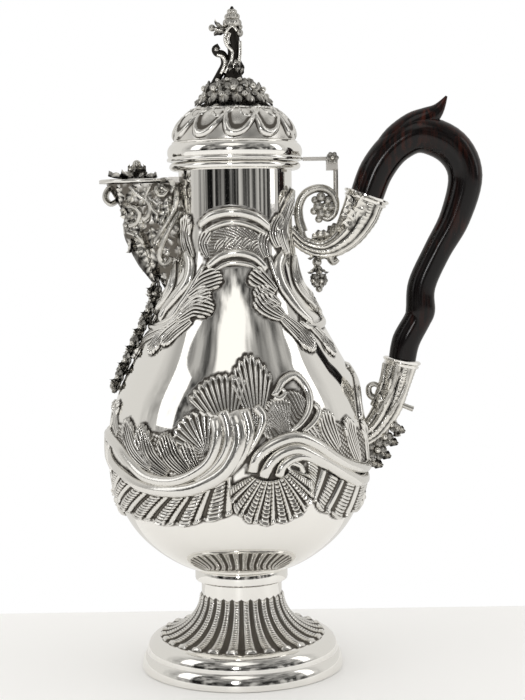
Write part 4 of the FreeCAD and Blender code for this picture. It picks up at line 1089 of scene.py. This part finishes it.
GRIP_STATIONS = [
    # reach, height, half width, tilt in degrees
    (58.6, 212.4, 7.4, 20), (59.2, 213.9, 7.6, 20), (64.0, 225.7, 7.8, 28), (72.3, 235.9, 7.8, 45),
    (83.5, 241.3, 8.3, 87), (97.4, 235.7, 8.4, 135), (103.8, 222.6, 7.8, 180), (99.1, 203.9, 7.0, 205),
    (90.9, 188.8, 6.3, 210), (83.9, 173.7, 6.4, 198), (83.2, 162.2, 6.7, 186), (81.6, 157.6, 6.2, 206),
    (76.6, 148.4, 6.4, 202), (74.6, 139.2, 6.2, 191), (74.3, 137.8, 6.1, 190),
]
GRIP_ROWS = 84
GRIP_SIDES = 36
SPUR_ROWS = 20
THUMB_SPUR = [(66.0, 231.5, 5.6, 42), (72.0, 239.0, 6.2, 56), (80.0, 245.2, 6.0, 66), (87.0, 248.6, 5.0, 66),
              (92.0, 252.4, 2.9, 50), (95.6, 258.2, 0.5, 32)]
GRIP_FLATNESS = 0.9


def make_grip():
    """The ebony grip and its thumb spur."""
    def rings(stations, steps):
        rows = [through(stations, k / steps) for k in range(steps + 1)]
        return [(Vector((x, 0, z)), half, half * GRIP_FLATNESS, tilt) for x, z, half, tilt in rows]
    grip = loft(rings(GRIP_STATIONS, GRIP_ROWS), GRIP_SIDES)
    finish("ebony_grip", grip, "pot", EBONY, ["handle_grip"])
    finish("thumb_spur", loft(rings(THUMB_SPUR, SPUR_ROWS)), "pot", EBONY)


make_grip()

# Cast ornament of the spout, garland, flap and brackets, as pixels of the picture

SPOUT_STRAPS = [
    # line, radii
    ([(174, 180), (176, 194), (174, 208), (165, 225), (154, 242)], (1.3, 1.4, 1.2, 0.9)),
    ([(172, 183), (166, 180), (159, 182), (156, 188), (158, 194), (163, 195), (166, 191), (163, 188)],
     (1.3, 1.1, 0.8)),
    ([(179, 212), (170, 227), (163, 242), (160, 255), (163, 263), (169, 262), (171, 257)],
     (1.2, 1.4, 1.3, 1.0)),
    ([(130, 186), (140, 196), (150, 204), (148, 216), (140, 222)], (0.9, 1.2, 1.0)),
    ([(122, 210), (132, 206), (140, 212), (138, 222), (130, 226)], (0.8, 1.2, 1.0)),
    ([(150, 186), (146, 196), (152, 208), (158, 214)], (0.9, 1.1, 0.9)),
    ([(128, 232), (138, 236), (146, 246), (150, 258)], (0.8, 1.1, 0.9)),
]
SPOUT_LEAVES = [
    # root, tip, half width
    ((136, 187), (130, 202), 3.0), ((147, 188), (142, 205), 3.0), ((128, 198), (124, 213), 2.6),
    ((138, 205), (130, 219), 3.0), ((149, 211), (142, 229), 3.0), ((130, 222), (137, 237), 3.0),
    ((140, 232), (146, 248), 3.2), ((151, 227), (155, 246), 2.6), ((161, 204), (156, 222), 2.6),
    ((167, 198), (168, 214), 2.4), ((144, 246), (148, 262), 3.2), ((152, 248), (153, 268), 2.8),
    ((135, 238), (141, 254), 3.2), ((149, 262), (153, 278), 2.6),
    ((170, 205), (160, 224), 2.4), ((166, 228), (156, 246), 2.6), ((118, 188), (122, 202), 2.4),
]
SPOUT_FLOWERS = [((161, 188), 2.0), ((134, 212), 2.8), ((143, 221), 2.5), ((152, 262), 2.8),
                 ((128, 226), 2.2)]
SPOUT_BEARD = [(133, 206), (135, 224), (141, 243), (149, 262), (156, 281)]
# rise, distance forwards, length and half width of the leaves down the front of the mask
MASK_LEAVES = [(9, 0.6, 12, 4.5), (3, -0.5, 12, 4.0), (-5, -2.4, 13, 3.6)]
BEARD_TONE = 0.4
SPOUT_LIP = [(124, 182), (113, 186), (107, 192), (106, 199), (111, 204), (117, 201)]
BRACKET_RING = [(303, 232), (299, 219), (299, 206), (304, 195), (314, 189), (325, 189), (333, 195),
                (336, 204), (334, 214), (328, 219), (322, 217)]
BRACKET_EDGE = [(301, 226), (304, 238), (314, 245), (330, 243), (345, 235), (357, 221), (365, 207)]
BRACKET_TAIL = [(342, 238), (334, 247), (330, 255), (333, 262), (338, 259)]
BRACKET_LEAVES = [((312, 238), (330, 236), 3.2), ((326, 238), (343, 227), 3.8), ((340, 230), (355, 212), 4.4),
                  ((352, 216), (363, 197), 4.8), ((344, 216), (352, 198), 3.4)]
BERRIES = [(315, 200), (321, 197), (328, 200), (331, 207), (325, 207), (318, 206), (314, 211), (321, 213),
           (328, 214), (319, 219)]
PENDANT_TOP = (317, 246)
PENDANT_KNOT = (317, 262)
PENDANT_FLOWER = (319, 279)
PENDANT_PETALS = 5
LOWER_STRAPS = [
    ([(397, 364), (394, 380), (388, 396), (379, 411)], (1.2, 1.3, 1.0)),
    ([(386, 364), (384, 380), (379, 394), (372, 405)], (1.0, 1.2, 0.9)),
    ([(408, 367), (405, 384), (398, 400), (388, 415)], (1.0, 1.2, 0.9)),
]
LOWER_SCROLLS = [
    ([(388, 402), (378, 399), (370, 395), (369, 387), (374, 384), (379, 387), (377, 392)],
     (1.9, 1.5, 1.2, 0.9)),
    ([(396, 402), (405, 406), (413, 409)], (1.4, 1.2, 1.3)),
    ([(390, 412), (396, 426), (397, 436)], (1.3, 1.1, 1.8)),
    ([(384, 412), (376, 420), (371, 432), (376, 444), (386, 446)], (1.8, 1.6, 1.3, 1.0)),
]
ROSES = [((372, 431), 4.4), ((384, 437), 4.4), ((377, 450), 4.6), ((391, 425), 3.4), ((369, 459), 3.2)]
ROSE_BERRY = (7, 5)
LOWER_LEAVES = [((384, 408), (391, 380), 3.0), ((378, 414), (381, 396), 2.8)]
GARLAND_COUNT = 12
GARLAND_INSET = 3.4
GARLAND_HEAD = [(160, 268), (157, 276), (156, 284), (153, 291)]
FLAP_LEAVES = 8
FLAP_LEAF = 11.0
FLAP_LEAF_AT_HINGE = 7.0
FLAP_ROOT = -30.8
FLAP_HALF_WIDTH = 11.5
FLAP_EDGE = [(0.0, -0.478), (0.24, -1.35), (0.69, -1.15), (1.0, 0.0)]
RIM_RADIUS = 0.95


def lay(bm, trees, straps, leaves, flowers, tone=LEAF_TONE):
    """Lays wires, leaves and flowers where the picture shows them on the skins."""
    for pixels, radii in straps:
        hits = [seen_on(trees, pixel) for pixel in pixels]
        tube(bm, [spot + normal * 0.4 for spot, normal in hits], radii)
    for root, tip, width in leaves:
        (spot, normal), (far, _) = seen_on(trees, root), seen_on(trees, tip)
        along = far - spot
        leaf(bm, spot + normal * 0.4, along, normal, min(along.length, 16.0) * 1.1, width, 0.16, tone=tone)
    for pixel, radius in flowers:
        spot, normal = seen_on(trees, pixel)
        blossom(bm, spot + normal * 0.6, normal, radius)


def make_spout_ornament():
    """Straps, leaves and flowers over the spout, and the foliage mask under its beak."""
    bm = bmesh.new()
    tube(bm, on_axis(SPOUT_BEARD), (2.0, 5.6, 6.0, 5.0, 1.5), 16, tone=BEARD_TONE)
    trees = node_skin("spout_shell", "spout_mask") + [BVHTree.FromBMesh(bm)]
    lay(bm, trees, SPOUT_STRAPS, SPOUT_LEAVES, SPOUT_FLOWERS)
    mirror_copy(bm)
    tube(bm, on_axis(SPOUT_LIP), (1.2, 1.4, 1.4, 1.2), 12, 4.6)
    low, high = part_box("spout_mask")
    front = low.x / MM
    middle = (low.z + high.z) / 2 / MM
    for rise, out, length, width in MASK_LEAVES:
        root = Vector((front + 1 - out, 0, middle + rise))
        leaf(bm, root, (0.6, 0, -1), (-1, 0, -0.6), length, width, 0.05)
    for side in (-1, 1):
        ball(bm, Vector((front + 1.6, side * 2.6, middle + 4.5)), 1.7)
        leaf(bm, Vector((front + 2.2, side * 1.0, middle + 8)), (0.1, side, 0.6), (-1, 0, 0), 8, 2.6, 0.2)
        leaf(bm, Vector((front + 2.6, side * 2.0, middle - 2)), (0.3, side, -0.9), (-1, 0, 0), 9, 2.6, 0.2)
    finish("spout_foliage", tidy(bm), "pot", CAST)


def make_garland():
    """Flowers and leaves that hang below the spout."""
    bm = bmesh.new()
    low, high = (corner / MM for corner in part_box("body_garland"))
    top = Vector((high.x - GARLAND_INSET, 0, high.z - GARLAND_INSET))
    foot = Vector((low.x + GARLAND_INSET, 0, low.z + GARLAND_INSET))
    for k in range(GARLAND_COUNT):
        side = 1 if k % 2 else -1
        spot = top.lerp(foot, k / (GARLAND_COUNT - 1))
        blossom(bm, spot + Vector((-1.0, 1.7 * side, 0)), (-0.8, 0.6 * side, 0.25), 3.9 if k % 3 else 4.4)
        leaf(bm, spot, (-0.3, side, -0.4), (-1, 0, 0.4), 8.5, 2.4, 0.25)
        leaf(bm, spot, (-0.2, -side, 0.5), (-1, 0, 0.4), 7.0, 2.2, 0.25)
        ball(bm, spot + Vector((-2.0, -1.8 * side, 1.6)), 1.4)
    for k, pixel in enumerate(GARLAND_HEAD):
        side = 1 if k % 2 else -1
        blossom(bm, on_plane(pixel, 1.6 * side), (-0.8, 0.6 * side, 0.25), 3.6)
        leaf(bm, on_plane(pixel), (-0.3, side, -0.4), (-1, 0, 0.4), 7.5, 2.2, 0.25)
    finish("spout_garland", tidy(bm), "pot", CAST, ["body_garland"])


def make_flap_foliage():
    """Leaves, beads and flowers on the flap."""
    bm = bmesh.new()
    low, high = (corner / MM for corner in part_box("flap_bud"))
    seat = Vector(((low.x + high.x) / 2, 0, low.z))
    for k in range(FLAP_LEAVES):
        turn = math.tau * (k + 0.5) / FLAP_LEAVES
        out = Vector((math.cos(turn), 0.8 * math.sin(turn), 0))
        length = FLAP_LEAF_AT_HINGE if out.x > 0.3 else FLAP_LEAF
        leaf(bm, seat + out * 2.4 + UP * 1.0, out + UP * 0.12, UP, length, 3.9, 0.04)
        leaf(bm, seat + out * 0.8 + UP * 1.6, out + UP * 0.9, UP - out * 0.4, 6.0, 2.2, 0.3)
        ball(bm, seat + out * 6.5 + UP * 1.4, 1.5)
    blossom(bm, seat + UP * 4.6, UP, 4.0)
    blossom(bm, seat + UP * 4.2 + Vector((-2.2, -1.6, 0)), (-0.6, -0.7, 0.5), 2.8)
    blossom(bm, seat + UP * 4.2 + Vector((2.2, 1.6, 0)), (0.6, 0.7, 0.5), 2.8)
    ball(bm, seat + UP * 7.0, 2.0)
    finish("flap_foliage", tidy(bm), "spout_flap", CAST, ["flap_bud"])


def make_flap_rim():
    """A rounded rim along the edge of the flap, from one side of its hinge to the other."""
    bm = bmesh.new()
    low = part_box("flap_leaf")[0] / MM
    length = low.x - FLAP_ROOT
    near = flow([(FLAP_ROOT + reach * length, side * FLAP_HALF_WIDTH) for reach, side in FLAP_EDGE], 12)
    edge = [Vector((x, y, low.z + RIM_RADIUS)) for x, y in near[4:]]
    edge += [Vector((x, -y, low.z + RIM_RADIUS)) for x, y in near[-2:3:-1]]
    tube(bm, edge[::4] + edge[-1:], (RIM_RADIUS,) * 2, tone=BRIGHT_TONE)
    finish("flap_rim", tidy(bm), "spout_flap", CHASED)


UPPER_SLEEVE = [
    # reach, height, radius, tilt in degrees
    (59.2, 213.9, 9.0, 20), (57.8, 210.2, 8.5, 21), (55.4, 204.5, 8.1, 26), (49.4, 196.0, 6.4, 48),
    (40.1, 190.5, 4.4, 82), (31.1, 192.5, 3.2, 110), (24.4, 198.9, 3.0, 130),
]
LOWER_SLEEVE = [(74.6, 139.2, 7.4, 11), (73.9, 136.4, 7.0, 13), (71.6, 128.7, 6.5, 17),
                (68.1, 118.5, 6.2, 27), (61.6, 108.6, 5.5, 46), (54.5, 104.0, 5.4, 58)]
SLEEVE_SIDES = 80
SLEEVE_ROWS = 100
SLEEVE_RIBS = 10
SLEEVE_BEADS = 26
# Outline of a collar: share of the arm's radius, height
COLLAR = [(0.86, -2.6), (1.0, -2.6), (1.08, -2.2), (1.10, -1.6), (1.03, -1.1), (1.10, -0.7), (1.17, -0.2),
          (1.17, 0.4), (1.10, 0.8), (0.90, 0.9), (0.86, 0.4)]


def make_sleeve(name, stations, replaced):
    """A cast arm with ribs along it, every second rib beaded."""
    bm = bmesh.new()
    layer = relief_layer(bm)
    rings = []
    for row in range(SLEEVE_ROWS + 1):
        share = row / SLEEVE_ROWS
        x, z, radius, tilt = through(stations, share)
        centre = Vector((x, 0, z))
        ring = bmesh.ops.create_circle(bm, segments=SLEEVE_SIDES, radius=1,
                                       matrix=leaning(centre, tilt))["verts"]
        for k, vert in enumerate(ring):
            across = SLEEVE_RIBS * k / SLEEVE_SIDES
            rib = abs(math.sin(math.pi * across)) ** 0.7
            bead = 0.5 + 0.5 * math.cos(math.tau * SLEEVE_BEADS * share) if int(across) % 2 else 1.0
            raised = rib * (0.7 + 0.3 * bead)
            vert.co = centre + (vert.co - centre) * (radius - 0.5 + 0.9 * raised)
            # Ribs brighter than the grooves: oxide and painted shade in the grooves, painted highlight on the
            # ribs
            vert[layer] = RELIEF_TONE + 0.5 * raised
        rings.append(ring)
    skin(bm, rings)
    finish(name, tidy(bm), "pot", CAST, replaced)


def make_collar(name, station, replaced):
    """The flared silver moulding where a cast arm holds the grip."""
    x, z, radius, tilt = station
    bm = turned([(share * radius, up) for share, up in COLLAR], 96)
    bmesh.ops.transform(bm, matrix=leaning((x, 0, z), tilt), verts=bm.verts)
    finish(name, bm, "pot", POLISHED, replaced)


def make_arms():
    """The two cast arms and the collars that hold the grip."""
    make_sleeve("upper_arm", UPPER_SLEEVE, ["upper_bracket"])
    make_sleeve("lower_arm", LOWER_SLEEVE, ["lower_bracket"])
    make_collar("upper_collar", UPPER_SLEEVE[0], ["upper_ferrule"])
    make_collar("lower_collar", LOWER_SLEEVE[0], ["lower_ferrule"])


def make_upper_ornament():
    """The open scroll of the upper arm, with its berries, leaves and tail."""
    bm = bmesh.new()
    lay(bm, node_skin("upper_bracket"), [], BRACKET_LEAVES, [], ARM_LEAF_TONE)
    for k, pixel in enumerate(BERRIES):
        ball(bm, on_plane(pixel, -1.4 if k % 2 else -0.2), 2.2 if k % 3 else 1.8)
    mirror_copy(bm)
    tube(bm, on_axis(BRACKET_RING), (2.3, 2.0, 1.9, 1.8, 1.5, 1.1), 12, 1.5)
    tube(bm, on_axis(BRACKET_EDGE), (1.5, 1.5, 1.4, 1.2), 12, 1.3)
    tube(bm, on_axis(BRACKET_TAIL), (2.8, 2.4, 1.8, 1.2), 12, 1.5)
    finish("bracket_scrolls", tidy(bm), "pot", CAST, ["upper_scroll", "scroll_blossom"])


def make_pendant():
    """The flower that hangs below the upper arm."""
    bm = bmesh.new()
    top, knot, flower = on_axis((PENDANT_TOP, PENDANT_KNOT, PENDANT_FLOWER))
    tube(bm, [top, (top + knot) / 2, knot, flower], (1.1, 0.8, 1.0, 1.2))
    ball(bm, knot, 2.2, rings=10)
    for k in range(PENDANT_PETALS):
        turn = math.tau * k / PENDANT_PETALS
        out = Vector((math.cos(turn), math.sin(turn), 0))
        leaf(bm, top - UP * 1.0, out * 0.7 - UP, out, 7.0, 2.0, 0.15)
        leaf(bm, knot - UP * 1.0, out * 0.8 - UP, out, 6.5, 2.0, 0.2)
        blossom(bm, flower + out * 2.0 - UP * 0.6, out - UP * 0.2, 3.4)
    ball(bm, flower - UP * 4.4, 1.7)
    finish("bracket_drop", tidy(bm), "pot", CAST, ["bracket_pendant"])


def make_lower_ornament():
    """Roses, straps and scrolls of the lower arm."""
    bm = bmesh.new()
    lay(bm, node_skin("lower_bracket"), LOWER_STRAPS, LOWER_LEAVES, [], ARM_LEAF_TONE)
    for pixel, radius in ROSES:
        blossom(bm, on_plane(pixel, -2.6), (0.2, -1, 0.1), radius)
        ball(bm, on_plane((pixel[0] + ROSE_BERRY[0], pixel[1] + ROSE_BERRY[1]), -1.6), 1.5)
        leaf(bm, on_plane(pixel, -1.0), (0.9, -0.4, -0.5), (0.4, -1, 0.3), 8.0, 2.4, 0.2)
    mirror_copy(bm)
    for pixels, radii in LOWER_SCROLLS:
        tube(bm, on_axis(pixels), radii, 12, 1.4)
    finish("lower_scrolls", tidy(bm), "pot", CAST, ["lower_rose"])


def make_hinge_flowers():
    """Small flowers on both ends of the lid's hinge pin."""
    bm = bmesh.new()
    low, high = (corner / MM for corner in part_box("lid_hinge_pin"))
    for y, facing in ((low.y, -1), (high.y, 1)):
        blossom(bm, Vector(((low.x + high.x) / 2, y, (low.z + high.z) / 2)), (0, facing, 0), 2.9, 6)
    finish("hinge_flowers", tidy(bm), "pot", CAST)


make_hinge_flowers()
make_spout_ornament()
make_garland()
make_flap_foliage()
make_flap_rim()
make_arms()
make_upper_ornament()
make_pendant()
make_lower_ornament()

# Finishes of the sub-parts that keep their own shape

KEPT_FINISHES = [
    (POLISHED, ("lid_bezel", "finial_nut", "finial_washer")),
    (BRUSHED, ("lid_hinge_arm", "lid_hinge_pin", "hinge_post", "flap_hinge_pin", "upper_socket_pin",
               "lower_socket_pin", "scroll_stay", "flap_leaf", "spout_hinge_block")),
    (WORKED, ("spout_shell", "spout_mask")),
]
for material, names in KEPT_FINISHES:
    for name in names:
        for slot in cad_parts[name].material_slots:
            slot.material = material

# Camera, lights, floor and surroundings


def make_camera():
    data = bpy.data.cameras.new("camera")
    data.lens = LENS
    data.sensor_width = SENSOR
    camera = bpy.data.objects.new("camera", data)
    camera.matrix_world = Matrix.Translation(CAMERA_AT * MM) @ CAMERA_TURN.to_4x4()
    scene.collection.objects.link(camera)
    scene.camera = camera


def make_lamp(name, place, aim, size, power):
    data = bpy.data.lights.new(name, "AREA")
    data.shape = "RECTANGLE"
    data.size, data.size_y = size
    data.energy = power
    lamp = bpy.data.objects.new(name, data)
    lamp.location = place
    lamp.rotation_euler = (Vector(aim) - Vector(place)).to_track_quat("-Z", "Y").to_euler()
    scene.collection.objects.link(lamp)


TABLE_EDGE = 0.098
FLOOR_HALF = 4.0


def make_floor():
    """A plain pale table that ends behind the pot, below the white background."""
    bm = bmesh.new()
    bmesh.ops.create_grid(bm, x_segments=2, y_segments=2, size=FLOOR_HALF)
    bmesh.ops.translate(bm, vec=(0, TABLE_EDGE - FLOOR_HALF, 0), verts=bm.verts)
    mesh = bpy.data.meshes.new("floor")
    bm.to_mesh(mesh)
    bm.free()
    floor = bpy.data.objects.new("floor", mesh)
    material, tree, shader = new_material("pale_floor")
    feed(tree, shader, {"Base Color": (0.93, 0.925, 0.91, 1), "Roughness": 0.55})
    mesh.materials.append(material)
    scene.collection.objects.link(floor)


# Direction of the window that the silver mirrors
WINDOW = (-0.054, -0.639, 0.767)


def make_world():
    """A white studio; the silver mirrors a dim room with paler upright strips, a ceiling and a window."""
    world = bpy.data.worlds.new("studio")
    scene.world = world
    world.use_nodes = True
    tree = world.node_tree
    tree.nodes.clear()
    place = node(tree, "ShaderNodeTexCoord", {})["Generated"]
    axes = node(tree, "ShaderNodeSeparateXYZ", {0: place})
    strip = noise(tree, stretched(tree, place, (2.6, 2.6, 0.3)), 3.4, 4.0)
    blob = remap(tree, noise(tree, place, 2.2, 2.0), 0.4, 0.62, 0.15, 1.0)
    room = reckon(tree, "MULTIPLY", remap(tree, strip, 0.44, 0.58, 0.02, 0.62), blob)
    mottle = noise(tree, place, 7.0, 5.0)
    ceiling = remap(tree, mottle, 0.36, 0.66, 0.05, 0.5)
    whole = mix(tree, remap(tree, axes["Z"], 0.2, 0.5), room, ceiling)
    toward = node(tree, "ShaderNodeVectorMath", {0: place, 1: WINDOW}, operation="DOT_PRODUCT")["Value"]
    pane = remap(tree, reckon(tree, "MULTIPLY_ADD", mottle, 0.09, toward), 0.985, 1.02, 0.0, 1.15)
    lit = reckon(tree, "MAXIMUM", whole, pane)
    shade = mix(tree, remap(tree, axes["Y"], -0.35, 0.25), lit, 0.74)
    mirrored = node(tree, "ShaderNodeEmission", {"Color": (1, 0.985, 0.95, 1), "Strength": shade})[0]
    plain = node(tree, "ShaderNodeEmission", {"Color": (1, 0.99, 0.975, 1), "Strength": 1.0})[0]
    white = node(tree, "ShaderNodeEmission", {"Strength": 1.0})[0]
    path = node(tree, "ShaderNodeLightPath", {})
    glossy = node(tree, "ShaderNodeMixShader", {0: path["Is Glossy Ray"], 1: plain, 2: mirrored})[0]
    direct = node(tree, "ShaderNodeMixShader", {0: path["Is Camera Ray"], 1: glossy, 2: white})[0]
    node(tree, "ShaderNodeOutputWorld", {"Surface": direct})


LAMPS = [
    # name, place, aim, width and height in metres, watts
    ("lamp_at_camera", (-0.22, -1.6, 0.50), (0, 0, 0.14), (0.16, 0.3), 2),
    ("left_softbox", (-1.3, -0.5, 0.8), (0, 0, 0.15), (0.5, 1.0), 1.6),
    ("right_softbox", (1.3, -0.2, 0.7), (0, 0, 0.15), (0.3, 1.0), 1.2),
]

make_camera()
for lamp in LAMPS:
    make_lamp(*lamp)
make_floor()
make_world()
scene.view_settings.view_transform = "Standard"
